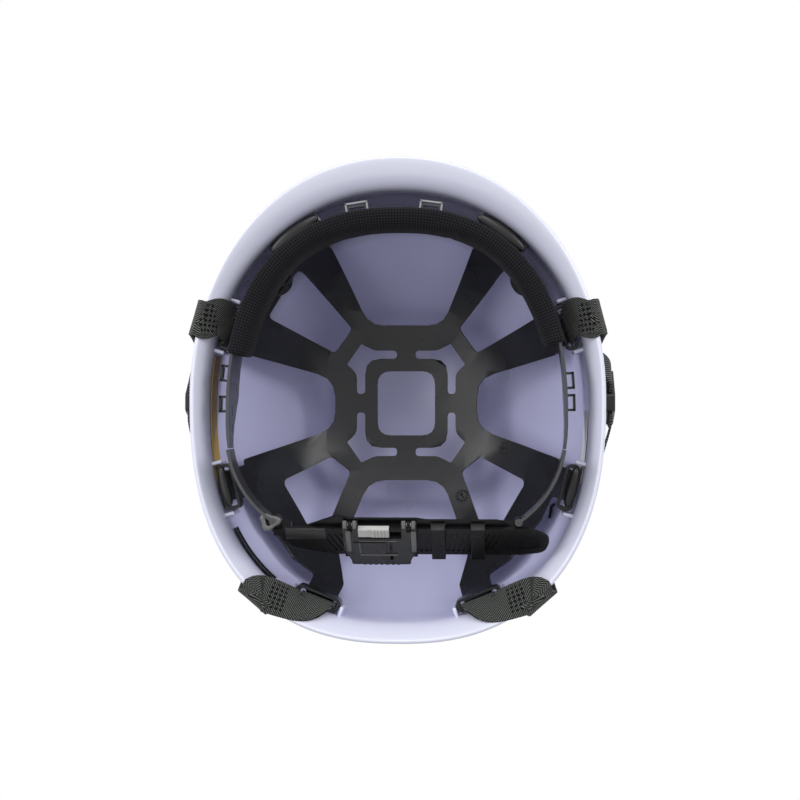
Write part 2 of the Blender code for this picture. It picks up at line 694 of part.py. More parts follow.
# ======================================================================================
# headband, tails and sweatband
# ======================================================================================
def swept_band(name, angles, profile, paint):
    """A profile (outward, up) swept along the headband's plan between the given angles."""
    section = bpy.data.curves.new(name + "_section", "CURVE")
    section.dimensions = "2D"
    spline = section.splines.new("POLY")
    spline.points.add(len(profile) - 1)
    for knot, (outward, up) in zip(spline.points, profile):
        knot.co = (-outward, up, 0.0, 1.0)
    spline.use_cyclic_u = True
    section_object = add_object(name + "_section", section, None, CUTTERS)
    rail = bpy.data.curves.new(name, "CURVE")
    rail.dimensions = "3D"
    rail.twist_mode = "Z_UP"
    rail.bevel_mode = "OBJECT"
    rail.bevel_object = section_object
    rail.use_fill_caps = True
    run = rail.splines.new("POLY")
    run.points.add(len(angles) - 1)
    for knot, angle in zip(run.points, angles):
        point = band_point(angle)
        knot.co = (point.x, point.y, 0.0, 1.0)
    band = as_mesh(add_object(name, rail, paint), flatten=False)
    bpy.data.objects.remove(section_object, do_unlink=True)
    paint_only(band, paint)
    return band


def angle_range(first, last, step):
    """Angles in radians from first to last degrees, about step degrees apart."""
    count = max(2, round(abs(last - first) / step))
    return [math.radians(first + (last - first) * index / count) for index in range(count + 1)]


def band_frame(angle):
    """X along the band, Y outward, Z up, at the band's middle line."""
    here = band_point(angle)
    out = (band_point(angle, 1.0) - here).normalized()
    outward = Vector((out.x, out.y, 0.0))
    along = outward.cross(Vector((0, 0, 1)))
    matrix = Matrix((along, outward, Vector((0, 0, 1)))).transposed().to_4x4()
    return Matrix.Translation((here.x, here.y, 0.0)) @ matrix


def slab_profile(bottom, height):
    half = BAND_THICKNESS / 2
    return [(-half, bottom), (half, bottom), (half, bottom + height), (-half, bottom + height)]


def split_angle():
    """Angle of the split, and the angle that the split's half gap takes up."""
    at = math.radians(BAND_SPLIT_ANGLE)
    length = (band_point(at + 1e-3) - band_point(at - 1e-3)).length / 2e-3
    return at, BAND_SPLIT_GAP / 2 / length


def make_headband():
    """The wide band round the front and the sides, with slots and moulded loops."""
    at, half_gap = split_angle()
    first = math.degrees(at - half_gap)
    angles = angle_range(first, -180.0 - first, 4.0)
    band = swept_band("headband", angles, slab_profile(BAND_BOTTOM, BAND_HEIGHT), BLACK_PLASTIC)
    top = BAND_BOTTOM + BAND_HEIGHT
    tail_top = TAIL_BOTTOM + TAIL_HEIGHT
    for sign in SIDES.values():
        end = band_point(at - half_gap)
        outer_x = sign * (end.x + 8 * MM)
        inner_x = sign * (end.x - 12 * MM)
        corners = [(end.y - TAPER_LENGTH, top + 2 * MM), (end.y + 4 * MM, top + 2 * MM),
                   (end.y + 4 * MM, tail_top), (end.y - 2 * MM, tail_top)]
        wedge = outline_curve("wedge", [corners], abs(outer_x - inner_x) / 2, None, CUTTERS)
        wedge.matrix_world = Matrix(((0, 0, 1, (outer_x + inner_x) / 2), (1, 0, 0, 0), (0, 1, 0, 0),
                                     (0, 0, 0, 1)))
        boolean(band, as_mesh(wedge), "DIFFERENCE")
    for sign in SIDES.values():
        for share, degrees in SLOT_PLACES:
            angle = math.radians(degrees)
            place = band_frame(angle if sign > 0 else math.pi - angle)
            slot = box("slot", (-BAND_SLOT_HALF, -2 * MM, -0.8 * MM), (BAND_SLOT_HALF, 2 * MM, 0.8 * MM),
                       None, CUTTERS)
            slot.matrix_world = place @ Matrix.Translation((0.0, 0.0, BAND_BOTTOM + BAND_HEIGHT * share))
            boolean(band, slot, "DIFFERENCE")
    for degrees in FRONT_LOOP_ANGLES:
        add_loop(band, math.radians(degrees), *FRONT_LOOP)
    for degrees in SIDE_LOOP_ANGLES:
        add_loop(band, math.radians(degrees), *SIDE_LOOP)
    paint_only(band, BLACK_PLASTIC)
    shade(band)
    return band


def add_loop(band, angle, width, depth):
    """A moulded rectangular eye on the outside of the headband."""
    foot = BAND_THICKNESS / 4
    outer = rectangle(-width / 2, foot, width / 2, BAND_THICKNESS / 2 + depth)
    inner = rectangle(-width / 2 + LOOP_WALL, BAND_THICKNESS / 2, width / 2 - LOOP_WALL,
                      BAND_THICKNESS / 2 + depth - LOOP_WALL)
    frame = outline_curve("loop", [outer, inner], LOOP_HEIGHT / 2, None, CUTTERS)
    middle = Vector((0.0, 0.0, LOOP_BOTTOM + LOOP_HEIGHT / 2))
    frame.matrix_world = band_frame(angle) @ Matrix.Translation(middle)
    boolean(band, as_mesh(frame), "UNION")


def hinge_angle():
    """Angle on the band's plan at which a tail reaches its vertical hinge."""
    share = (1.0 - (HINGE_X / BAND_HALF_WIDTH) ** BAND_POWER) ** (1 / BAND_POWER)
    return math.atan2(share ** (BAND_POWER / 2), (HINGE_X / BAND_HALF_WIDTH) ** (BAND_POWER / 2))


def hinge_point():
    point = band_point(hinge_angle())
    return Vector((point.x, point.y, 0.0))


def make_tail(side):
    """The narrow tail from the headband's end to the upright pin in its forked tip."""
    sign = SIDES[side]
    at, half_gap = split_angle()
    angles = angle_range(math.degrees(at + half_gap), math.degrees(hinge_angle()), 4.0)
    if sign < 0:
        angles = [math.pi - angle for angle in angles]
    tail = swept_band(f"rear_band_{side}", angles, slab_profile(TAIL_BOTTOM, TAIL_HEIGHT), BLACK_PLASTIC)
    inset = 0.4 * MM
    eye = hinge_barrel(sign, TAIL_EYE_RADIUS, TAIL_BOTTOM + inset, TAIL_HEIGHT - 2 * inset, 20)
    fork = hinge_barrel(sign, HOOK_RADIUS + RUNNING_GAP, HINGE_BOTTOM - RUNNING_GAP,
                        HINGE_HEIGHT + 2 * RUNNING_GAP, 32)
    pin = hinge_barrel(sign, HINGE_PIN_RADIUS, TAIL_BOTTOM + 2 * inset, TAIL_HEIGHT - 4 * inset, 16)
    boolean(tail, eye, "UNION")
    boolean(tail, fork, "DIFFERENCE")
    boolean(tail, pin, "UNION")
    pivot = band_point(math.pi - at if sign < 0 else at)
    set_origin(tail, (pivot.x, pivot.y, 0.0))
    paint_only(tail, BLACK_PLASTIC)
    shade(tail)
    return tail


def make_sweatband():
    """A padded J-section that hangs on the front of the headband."""
    half = BAND_THICKNESS / 2 + GAP
    top = BAND_BOTTOM + BAND_HEIGHT - 1.5 * MM
    low = BAND_BOTTOM - PAD_DROP
    inner = -half - PAD_THICKNESS
    outer = half + PAD_LIP
    profile = [(-half, BAND_BOTTOM - GAP), (-half, top), (-half - PAD_THICKNESS * 0.55, top),
               (inner, top - 5 * MM), (inner, low + 4 * MM), (inner + 2.6 * MM, low),
               (outer - 0.6 * MM, low),
               (outer, low + 1.2 * MM), (outer, LOOP_BOTTOM - GAP), (half, LOOP_BOTTOM - GAP),
               (half, BAND_BOTTOM - GAP)]
    angles = angle_range(-PAD_RIGHT_ANGLE, -180.0 + PAD_LEFT_ANGLE, 4.0)
    band = swept_band("sweatband", angles, profile, PAD_FABRIC)
    shade(band, 60)
    return band


# ======================================================================================
# nape adjuster; its own frame has X along the strap, Y up the lean and Z towards the head
# ======================================================================================
def adjuster_matrix():
    return Matrix.Translation(STRAP_MIDDLE) @ Matrix.Rotation(STRAP_LEAN, 4, "X")


def to_adjuster(thing):
    """Put a shape modelled in world axes into the adjuster's own frame."""
    thing.data.transform(adjuster_matrix().inverted())
    return thing


def hinge_barrel(sign, radius, low, height, sides=28):
    """An upright bar on the vertical hinge of the given side."""
    hinge = hinge_point()
    start = Vector((sign * hinge.x, hinge.y, low))
    return cylinder("barrel", radius, start, start + Vector((0.0, 0.0, height)), sides)


def finish_adjuster_part(thing, paint, origin_local=None, origin_world=None):
    """Stand a piece in its place, with its origin at the given point."""
    thing.data.transform(adjuster_matrix())
    if origin_local is not None:
        origin_world = adjuster_matrix() @ Vector(origin_local)
    if origin_world is not None:
        set_origin(thing, origin_world)
    paint_only(thing, paint)
    shade(thing)
    return thing


def make_nape_strap():
    """The toothed strap, hooked on the left tail's pin, with a thumb pad at its free end."""
    half = STRAP_WIDTH / 2
    outline = rounded([(STRAP_START_X, -half, 1.0 * MM), (STRAP_TIP_X - 12 * MM, -half, 6 * MM),
                       (STRAP_TIP_X, -half * 0.35, 7 * MM), (STRAP_TIP_X - 3 * MM, half * 0.8, 7 * MM),
                       (STRAP_TIP_X - 16 * MM, half, 6 * MM), (-34.0 * MM, half, 4 * MM),
                       (STRAP_START_X + 6 * MM, half * 0.45, 4 * MM),
                       (STRAP_START_X, -half * 0.2, 2 * MM)], 5)
    strap = plate("nape_strap", [outline], -STRAP_THICKNESS / 2, STRAP_THICKNESS)
    grooves = []
    place = -36.0 * MM
    while place < 55.0 * MM:
        groove = box("groove", (-0.75 * MM, -TOOTH_LENGTH / 2, -STRAP_THICKNESS),
                     (0.75 * MM, TOOTH_LENGTH / 2, -STRAP_THICKNESS / 2 + TOOTH_DEPTH), None, CUTTERS)
        groove.matrix_world = (Matrix.Translation((place, 0.5 * MM, 0.0))
                               @ Matrix.Rotation(TOOTH_FAN * (place - TOOTH_FAN_CENTRE), 4, "Z"))
        grooves.append(groove)
        place += TOOTH_PITCH
    cut_all(strap, grooves)
    thumb = plate("thumb", [rounded([(59 * MM, -6.2 * MM, 4 * MM), (78 * MM, -5.0 * MM, 5 * MM),
                                     (78 * MM, 5.6 * MM, 5 * MM), (59 * MM, 6.6 * MM, 4 * MM)], 4)],
                  -STRAP_THICKNESS, STRAP_THICKNESS / 2 + TOOTH_DEPTH, None, CUTTERS)
    boolean(strap, thumb, "DIFFERENCE")
    arm = box("arm", (-HINGE_X, -half + 1.0 * MM, -STRAP_THICKNESS / 2),
              (STRAP_START_X + 5 * MM, -half * 0.45, 5.8 * MM))
    barrel = to_adjuster(hinge_barrel(-1.0, HOOK_RADIUS, HINGE_BOTTOM, HINGE_HEIGHT))
    join_all(strap, [arm, barrel])
    bore = to_adjuster(hinge_barrel(-1.0, HINGE_PIN_RADIUS + RUNNING_GAP, HINGE_BOTTOM - 6 * MM,
                                    HINGE_HEIGHT + 12 * MM))
    boolean(strap, bore, "DIFFERENCE")
    hinge = hinge_point()
    return finish_adjuster_part(strap, GREY_PLASTIC, origin_world=(-hinge.x, hinge.y, 0.0))


def plate_back():
    """Level of the buckle's back plate, clear of the strap."""
    return STRAP_THICKNESS / 2 + RUNNING_GAP


def cover_axis():
    """The cover's hinge axis, as (y, z) in the adjuster's frame."""
    lower_wall = -(STRAP_WIDTH / 2 + RUNNING_GAP + BODY_WALL)
    return lower_wall - COVER_BARREL_RADIUS - RUNNING_GAP, -STRAP_THICKNESS / 2 - COVER_AXIS_DROP


def hinge_group_length():
    """Two arms of the cover with one lug of the frame between them."""
    return 2 * ARM_LENGTH + LUG_WIDTH + 2 * RUNNING_GAP


def hinge_groups():
    """Left edges of the cover's two hinges."""
    return BODY_LEFT_X, BODY_RIGHT_X - hinge_group_length()


def arm_starts(group):
    return group, group + ARM_LENGTH + LUG_WIDTH + 2 * RUNNING_GAP


def make_buckle_frame():
    """Back plate with wings, walls round the strap, hinge lugs and the button's rail."""
    back = plate_back()
    half = STRAP_WIDTH / 2 + RUNNING_GAP
    wing_right = HINGE_X - HOOK_RADIUS
    outline = rounded([(WING_LEFT_X, -WING_TIP_HALF - 5 * MM, 2 * MM),
                       (BODY_LEFT_X - 3 * MM, -WING_RISE - 2.5 * MM, 3 * MM),
                       (BODY_LEFT_X + 3 * MM, -WING_RISE, 3 * MM), (BODY_RIGHT_X, -WING_RISE, 3 * MM),
                       (BODY_RIGHT_X + 5 * MM, -WING_BODY_RISE, 3 * MM),
                       (wing_right - 7 * MM, -WING_BODY_RISE, 3 * MM),
                       (wing_right, -half + 0.6 * MM, 1 * MM),
                       (wing_right, -WING_TIP_HALF, 2 * MM), (BODY_RIGHT_X + 5 * MM, WING_HALF, 4 * MM),
                       (BODY_RIGHT_X, half + BODY_WALL, 0), (BODY_LEFT_X, half + BODY_WALL, 0),
                       (BODY_LEFT_X - 6 * MM, WING_HALF, 4 * MM), (WING_LEFT_X, WING_TIP_HALF, 2 * MM)], 3)
    frame = plate("buckle_frame", [outline], back, PLATE_THICKNESS)
    top = back + PLATE_THICKNESS
    bottom = -STRAP_THICKNESS / 2
    walls = [box("lower_wall", (BODY_LEFT_X, -half - BODY_WALL, bottom), (BODY_RIGHT_X, -half, top)),
             box("upper_wall", (BODY_LEFT_X, half, bottom), (BODY_RIGHT_X, half + BODY_WALL, top))]
    axis_y, axis_z = cover_axis()
    left_group, right_group = hinge_groups()
    for group in (left_group, right_group):
        start = group + ARM_LENGTH + RUNNING_GAP
        walls.append(cylinder("lug", COVER_BARREL_RADIUS, (start, axis_y, axis_z),
                              (start + LUG_WIDTH, axis_y, axis_z), 20))
        walls.append(box("lug_web", (start, axis_y, axis_z - COVER_BARREL_RADIUS * 0.6),
                         (start + LUG_WIDTH, -half - BODY_WALL / 2, axis_z + COVER_BARREL_RADIUS * 0.9)))
    rail_left = left_group + hinge_group_length() + RUNNING_GAP
    rail_right = right_group - RUNNING_GAP
    walls.append(box("rail", (rail_left, -half - BODY_WALL, bottom - RAIL_DEPTH),
                     (rail_right, -half, bottom + 0.5 * MM)))
    arm = box("arm", (wing_right - 6 * MM, -half + 0.6 * MM, back),
              (HINGE_X, -WING_TIP_HALF - 1 * MM, 5.8 * MM))
    barrel = to_adjuster(hinge_barrel(1.0, TAIL_EYE_RADIUS + 0.5 * MM, HINGE_BOTTOM, HINGE_HEIGHT, 20))
    walls += [arm, barrel]
    join_all(frame, walls)
    bore = to_adjuster(hinge_barrel(1.0, HINGE_PIN_RADIUS + RUNNING_GAP, HINGE_BOTTOM - 6 * MM,
                                    HINGE_HEIGHT + 12 * MM))
    pin_bore = cylinder("pin_bore", COVER_PIN_RADIUS + RUNNING_GAP, (BODY_LEFT_X - MM, axis_y, axis_z),
                        (BODY_RIGHT_X + MM, axis_y, axis_z), 16, None, CUTTERS)
    cuts = [bore, pin_bore]
    for centre in KEEPER_CENTRES:
        reach = KEEPER_WIDTH / 2 + GAP
        cuts.append(box("keeper_slot", (centre - reach, -half - KEEPER_WALL - GAP, back - MM),
                        (centre + reach, -half + GAP, top + MM), None, CUTTERS))
    cut_all(frame, cuts)
    hinge = hinge_point()
    return finish_adjuster_part(frame, BLACK_PLASTIC, origin_world=(hinge.x, hinge.y, 0.0))


def make_lock_cover():
    """The flip cover: two knuckles, a slot beside the button, a panel and finger teeth."""
    axis_y, axis_z = cover_axis()
    outer_gap = -STRAP_THICKNESS / 2 - RUNNING_GAP
    left = BODY_LEFT_X
    right = BODY_RIGHT_X
    middle = (left + right) / 2
    slot_edge = axis_y + COVER_SLOT_EDGE
    shoulder = axis_y + COVER_BARREL_RADIUS + 1.6 * MM
    free_left = middle - COVER_FREE_WIDTH / 2
    free_right = middle + COVER_FREE_WIDTH / 2
    left_arms, right_arms = [arm_starts(group) for group in hinge_groups()]
    inner_left = left_arms[1] + ARM_LENGTH
    inner_right = right_arms[0]
    corners = []
    for arms in (left_arms, right_arms):
        corners += [(arms[0], axis_y, 0), (arms[0] + ARM_LENGTH, axis_y, 0),
                    (arms[0] + ARM_LENGTH, shoulder, 0), (arms[1], shoulder, 0), (arms[1], axis_y, 0),
                    (arms[1] + ARM_LENGTH, axis_y, 0)]
        if arms is left_arms:
            corners += [(inner_left, slot_edge, MM), (inner_right, slot_edge, MM)]
    corners += [(right, 2 * MM, 3 * MM), (free_right, COVER_REACH - 3 * MM, 2 * MM),
                (free_right, COVER_REACH, 2 * MM), (free_left, COVER_REACH, 2 * MM),
                (free_left, COVER_REACH - 3 * MM, 2 * MM), (left, 2 * MM, 3 * MM)]
    cover = plate("lock_cover", [rounded(corners, 3)], outer_gap - COVER_THICKNESS, COVER_THICKNESS)
    pieces = []
    for start in left_arms + right_arms:
        pieces.append(cylinder("knuckle", COVER_BARREL_RADIUS, (start, axis_y, axis_z),
                               (start + ARM_LENGTH, axis_y, axis_z), 20))
    for count in range(FINGER_COUNT):
        x = middle + (count - (FINGER_COUNT - 1) / 2) * FINGER_PITCH
        pieces.append(box("finger", (x - 0.8 * MM, COVER_REACH - 1 * MM, outer_gap - COVER_THICKNESS * 0.8),
                          (x + 0.8 * MM, COVER_REACH + 1.2 * MM, outer_gap - COVER_THICKNESS * 0.2)))
    panel_low = slot_edge + 3 * MM
    pieces.append(box("panel", (free_left + 1.5 * MM, panel_low, outer_gap - COVER_THICKNESS - 0.5 * MM),
                      (middle + 3 * MM, COVER_REACH - 3 * MM, outer_gap - COVER_THICKNESS + 0.5 * MM)))
    join_all(cover, pieces)
    cuts = [cylinder("bore", COVER_PIN_RADIUS + RUNNING_GAP, (left - MM, axis_y, axis_z),
                     (right + MM, axis_y, axis_z), 16, None, CUTTERS),
            box("channel", (middle + 5 * MM, panel_low, outer_gap - COVER_THICKNESS - MM),
                (middle + 6.6 * MM, COVER_REACH - 4 * MM, outer_gap - COVER_THICKNESS * 0.4), None, CUTTERS)]
    cut_all(cover, cuts)
    return finish_adjuster_part(cover, GREY_PLASTIC, origin_local=(middle, axis_y, axis_z))


def make_cover_pins():
    """One pin through each lug and the two arms beside it."""
    axis_y, axis_z = cover_axis()
    pins = []
    for name, start in zip(("cover_pin_left", "cover_pin_right"), hinge_groups()):
        pin = cylinder(name, COVER_PIN_RADIUS, (start, axis_y, axis_z),
                       (start + hinge_group_length(), axis_y, axis_z), 16)
        pins.append(finish_adjuster_part(pin, STEEL))
    return pins


def make_lock_button():
    """The ribbed slide button that rides on the frame's rail."""
    half = STRAP_WIDTH / 2 + RUNNING_GAP
    rail_low = -half - BODY_WALL
    face = -STRAP_THICKNESS / 2 - RAIL_DEPTH - RUNNING_GAP
    start = hinge_groups()[0] + hinge_group_length() + RUNNING_GAP
    end = start + BUTTON_BASE_LENGTH
    edge = -half + 2.6 * MM
    button = box("lock_button", (start, rail_low - 1.4 * MM, face - 1.3 * MM), (end, edge, face))
    pieces = [box("leg", (start, rail_low - 1.4 * MM, face - 0.6 * MM),
                  (end, rail_low - RUNNING_GAP, face + RAIL_DEPTH * 0.8)),
              box("lip", (start, -half + RUNNING_GAP, face - 0.6 * MM),
                  (end, -half + 1.5 * MM, face + RAIL_DEPTH * 0.3)),
              box("grip", (end - BUTTON_LENGTH, rail_low - 3.2 * MM, face - 2.6 * MM),
                  (end, -half + 1.2 * MM, face - 0.6 * MM))]
    count = 5
    for index in range(count):
        x = end - BUTTON_LENGTH + (index + 0.7) * BUTTON_LENGTH / (count + 0.4)
        pieces.append(box("rib", (x - 0.4 * MM, rail_low - 2.8 * MM, face - 3.1 * MM),
                          (x + 0.4 * MM, -half + 0.8 * MM, face - 2.2 * MM)))
    join_all(button, pieces)
    return finish_adjuster_part(button, LIGHT_GREY_PLASTIC,
                                origin_local=(end - BUTTON_LENGTH / 2, rail_low, face))


def make_keepers():
    """Two loops that hold the strap's free end against the right wing."""
    low = -STRAP_WIDTH / 2 - RUNNING_GAP
    high = STRAP_WIDTH / 2 + RUNNING_GAP
    outside = -STRAP_THICKNESS / 2 - RUNNING_GAP
    inside = plate_back() + PLATE_THICKNESS + GAP
    for index, centre in enumerate(KEEPER_CENTRES):
        name = f"strap_keeper_{index + 1}"
        outer = rectangle(low - KEEPER_WALL, outside - KEEPER_WALL, high + KEEPER_WALL + 1.0 * MM,
                          inside + KEEPER_WALL, 0.8 * MM, 2)
        inner = rectangle(low, outside, high, inside)
        keeper = plate(name, [outer, inner], -KEEPER_WIDTH / 2, KEEPER_WIDTH)
        turn = Matrix(((0, 0, 1, centre), (1, 0, 0, 0), (0, 1, 0, 0), (0, 0, 0, 1)))
        keeper.data.transform(turn)
        finish_adjuster_part(keeper, GREY_PLASTIC)


# ======================================================================================
# chin strap
# ======================================================================================
def smooth_route(stations, steps):
    """Even Catmull-Rom points through a route of vectors."""
    route = []
    last = len(stations) - 1
    for index in range(last):
        p0 = stations[max(0, index - 1)]
        p1, p2 = stations[index], stations[index + 1]
        p3 = stations[min(last, index + 2)]
        for step in range(steps):
            t = step / steps
            route.append(0.5 * ((2 * p1) + (p2 - p0) * t + (2 * p0 - 5 * p1 + 4 * p2 - p3) * t * t
                                + (3 * p1 - p0 - 3 * p2 + p3) * t ** 3))
    route.append(stations[-1])
    return route


def ribbon(name, centres, normals, paint, width=WEB_WIDTH):
    """Flat webbing along a centre line, its back on the side away from each normal."""
    count = len(centres)
    work = bmesh.new()
    bmesh.ops.create_grid(work, x_segments=count - 1, y_segments=2, size=0.5)
    for vertex in work.verts:
        index = round((vertex.co.x + 0.5) * (count - 1))
        along = centres[min(count - 1, index + 1)] - centres[max(0, index - 1)]
        normal = normals[index]
        across = along.cross(normal).normalized()
        vertex.co = centres[index] + across * (vertex.co.y * width)
    ribbon_object = object_from_bmesh(name, work, paint)
    thick = ribbon_object.modifiers.new("thickness", "SOLIDIFY")
    thick.thickness = WEB_THICKNESS
    thick.offset = 0.0
    thick.use_even_offset = True
    bake(ribbon_object)
    tidy = bmesh.new()
    tidy.from_mesh(ribbon_object.data)
    bmesh.ops.recalc_face_normals(tidy, faces=tidy.faces)
    tidy.to_mesh(ribbon_object.data)
    tidy.free()
    paint_only(ribbon_object, paint)
    shade(ribbon_object, 50)
    return ribbon_object


def leg_route(place, sign):
    """Centre line and surface normals of a strap leg from its hanger to the junction."""
    slot = math.radians(HANGER_ANGLES[place])
    inset = hammock_reach()
    clear = WEB_CLEARANCE + WEB_THICKNESS / 2
    down = Vector((0, 0, -1))
    cross, outside = LEG_OUTSIDE[place]
    cross = math.radians(cross)
    middle = slot + (cross - slot) * WEB_TURN_SHARE
    points = []
    normals = []

    def add(angle, depth, height, away):
        point = shell_point(angle, 0.0 if height < HANGER_BOTTOM - 3 * MM else BRIM_HEIGHT, depth)
        points.append(Vector((point.x, point.y, height)))
        outward = wall_frame(angle, 0.0, 0.0)[1]
        normals.append((outward * away[0] + down * away[1]).normalized())

    add(slot, inset, HAMMOCK_EDGE_Z - 2.0 * MM, (-1.0, 0.0))
    add(slot, inset, HANGER_BOTTOM - 1.5 * MM, (-1.0, 0.0))
    add(middle, SHELL_WALL + 7.0 * MM, 5.0 * MM, (-0.8, 0.8))
    add(cross, SHELL_WALL + 1.2 * MM, -clear * 0.8, (-0.35, 1.0))
    add(cross, SHELL_WALL / 2, -clear - 0.4 * MM, (0.0, 1.0))
    add(cross, -clear * 0.8, -clear * 0.7, (0.8, 0.8))
    for degrees, height in outside:
        add(math.radians(degrees), -clear - 2.0 * MM, height, (1.0, 0.0))
    mouth, toward = junction_mouth(place)
    for back in (7.0 * MM, 0.0, -JUNCTION_MOUTH):
        points.append(mouth + toward * back)
        normals.append(Vector((1.0, 0.0, 0.0)))
    if sign < 0:
        points = [Vector((-p.x, p.y, p.z)) for p in points]
        normals = [Vector((-n.x, n.y, n.z)) for n in normals]
    steps = 3
    return smooth_route(points, steps), [n.normalized() for n in smooth_route(normals, steps)]


def junction_mouth(place):
    """Middle of a mouth of the +X junction, and the direction in which its leg leaves."""
    y, z, degrees = JUNCTION_MOUTHS[place]
    lean = math.radians(degrees)
    middle = Vector((JUNCTION_X, JUNCTION_Y + y, JUNCTION_Z + z))
    return middle, Vector((0.0, math.cos(lean), math.sin(lean)))


def dome_section(z, clearance):
    """Half width of the dome's outside at the chin strap's plane, grown by a clearance."""
    share = (z - BRIM_HEIGHT) / (CROWN_HEIGHT + clearance - BRIM_HEIGHT)
    return (ROOT_HALF_WIDTH + clearance) * math.sqrt(max(0.0, 1.0 - share ** DOME_POWER))


def crown_route(clearance):
    """The strap's line over the crown from the +X junction to the -X one, as (x, z)."""
    touch_z = 84.0 * MM
    leave_z = JUNCTION_Z + JUNCTION_TOP + MM
    points = [(JUNCTION_X, leave_z - MM - JUNCTION_MOUTH), (JUNCTION_X, leave_z)]
    touch_x = dome_section(touch_z, clearance)
    for share in (0.34, 0.67):
        points.append((JUNCTION_X + (touch_x - JUNCTION_X) * share, leave_z + (touch_z - leave_z) * share))
    turns = 11
    start = math.asin((touch_z - BRIM_HEIGHT) / (CROWN_HEIGHT + clearance - BRIM_HEIGHT))
    for step in range(turns + 1):
        angle = start + (math.pi / 2 - start) * step / turns
        z = BRIM_HEIGHT + (CROWN_HEIGHT + clearance - BRIM_HEIGHT) * math.sin(angle)
        points.append((dome_section(z, clearance), z))
    return points + [(-x, z) for x, z in reversed(points[:-1])]


def buckle_matrix():
    """Frame of the buckle: X towards the left half of the strap, Z away from the dome."""
    z = BUCKLE_CENTRE_Z
    step = 0.5 * MM
    slope = (dome_section(z + step, 0.0) - dome_section(z - step, 0.0)) / (2 * step)
    along = Vector((slope, 0.0, 1.0)).normalized()
    outward = Vector((along.z, 0.0, -along.x))
    lift = 2 * WEB_CLEARANCE + WEB_THICKNESS + GAP
    place = Vector((dome_section(z, 0.0), JUNCTION_Y, z)) + outward * lift
    turn = Matrix((along, outward.cross(along), outward)).transposed().to_4x4()
    return Matrix.Translation(place) @ turn


def cut_route(route, x_limit):
    """The part of the crown route from x_limit to the -X junction, starting on the limit."""
    kept = []
    for first, second in zip(route, route[1:]):
        if first[0] > x_limit >= second[0]:
            share = (x_limit - first[0]) / (second[0] - first[0])
            kept.append((x_limit, first[1] + (second[1] - first[1]) * share))
        if second[0] < x_limit:
            kept.append(second)
    return kept


def under_bar(end, away):
    """Centre line of the webbing where it comes in under one of the buckle's bars."""
    place = buckle_matrix()
    level = -GAP - WEB_THICKNESS / 2
    return [place @ Vector((end + away * 2 * MM, 0.0, level)),
            place @ Vector((end - away * WEB_UNDER_BAR, 0.0, level))]


def make_chin_webbing():
    """Both halves of the chin strap: one straight to the buckle, one laid over the crown."""
    route = crown_route(WEB_CLEARANCE + WEB_THICKNESS / 2)
    lift_off = (buckle_matrix() @ Vector((MALE_LENGTH + WEB_LIFT_OFF, 0.0, 0.0))).x
    right = [Vector((x, JUNCTION_Y, z)) for x, z in route[:2]] + under_bar(-FEMALE_LENGTH, -1.0)
    over_crown = [Vector((x, JUNCTION_Y, z)) for x, z in cut_route(route, lift_off)]
    left = under_bar(MALE_LENGTH, 1.0)[::-1] + over_crown
    for name, centres in (("chin_strap_right", right), ("chin_strap_left", left)):
        normals = []
        for index in range(len(centres)):
            along = centres[min(len(centres) - 1, index + 1)] - centres[max(0, index - 1)]
            normals.append(along.cross(Vector((0, 1, 0))).normalized())
        ribbon(name, centres, normals, WEBBING)


def make_junction(side):
    """The moulded slider where the two legs and the chin strap meet."""
    sign = SIDES[side]
    corners = [(-MOUTH_HALF, JUNCTION_TOP, 2.5 * MM), (MOUTH_HALF, JUNCTION_TOP, 2.5 * MM)]
    cuts = []
    mouth_half = WEB_WIDTH / 2 + 0.6 * MM
    slot_half = WEB_THICKNESS / 2 + 0.5 * MM
    depth = JUNCTION_MOUTH + 0.8 * MM
    cuts.append(box("mouth", (-mouth_half, JUNCTION_TOP - depth, -slot_half),
                    (mouth_half, JUNCTION_TOP + MM, slot_half), None, CUTTERS))
    for place, turn in (("rear", 1.0), ("side_front", -1.0)):
        y, z, degrees = JUNCTION_MOUTHS[place]
        lean = math.radians(degrees)
        edge = Vector((-math.sin(lean), math.cos(lean))) * MOUTH_HALF
        for end in (1.0, -1.0):
            corners.append((y + edge.x * end, z + edge.y * end, 2.5 * MM))
        mouth = box("mouth", (-depth, -mouth_half, -slot_half), (MM, mouth_half, slot_half), None, CUTTERS)
        mouth.matrix_world = Matrix.Translation((y, z, 0.0)) @ Matrix.Rotation(lean, 4, "Z")
        cuts.append(mouth)
    slider = plate(f"strap_junction_{side}", [rounded(corners, 3)], -JUNCTION_THICKNESS / 2,
                   JUNCTION_THICKNESS)
    cut_all(slider, cuts)
    slider.data.transform(Matrix(((0, 0, 1, 0), (1, 0, 0, 0), (0, 1, 0, 0), (0, 0, 0, 1))))
    slider.location = (sign * JUNCTION_X, JUNCTION_Y, JUNCTION_Z)
    paint_only(slider, BLACK_PLASTIC)
    shade(slider)
    return slider


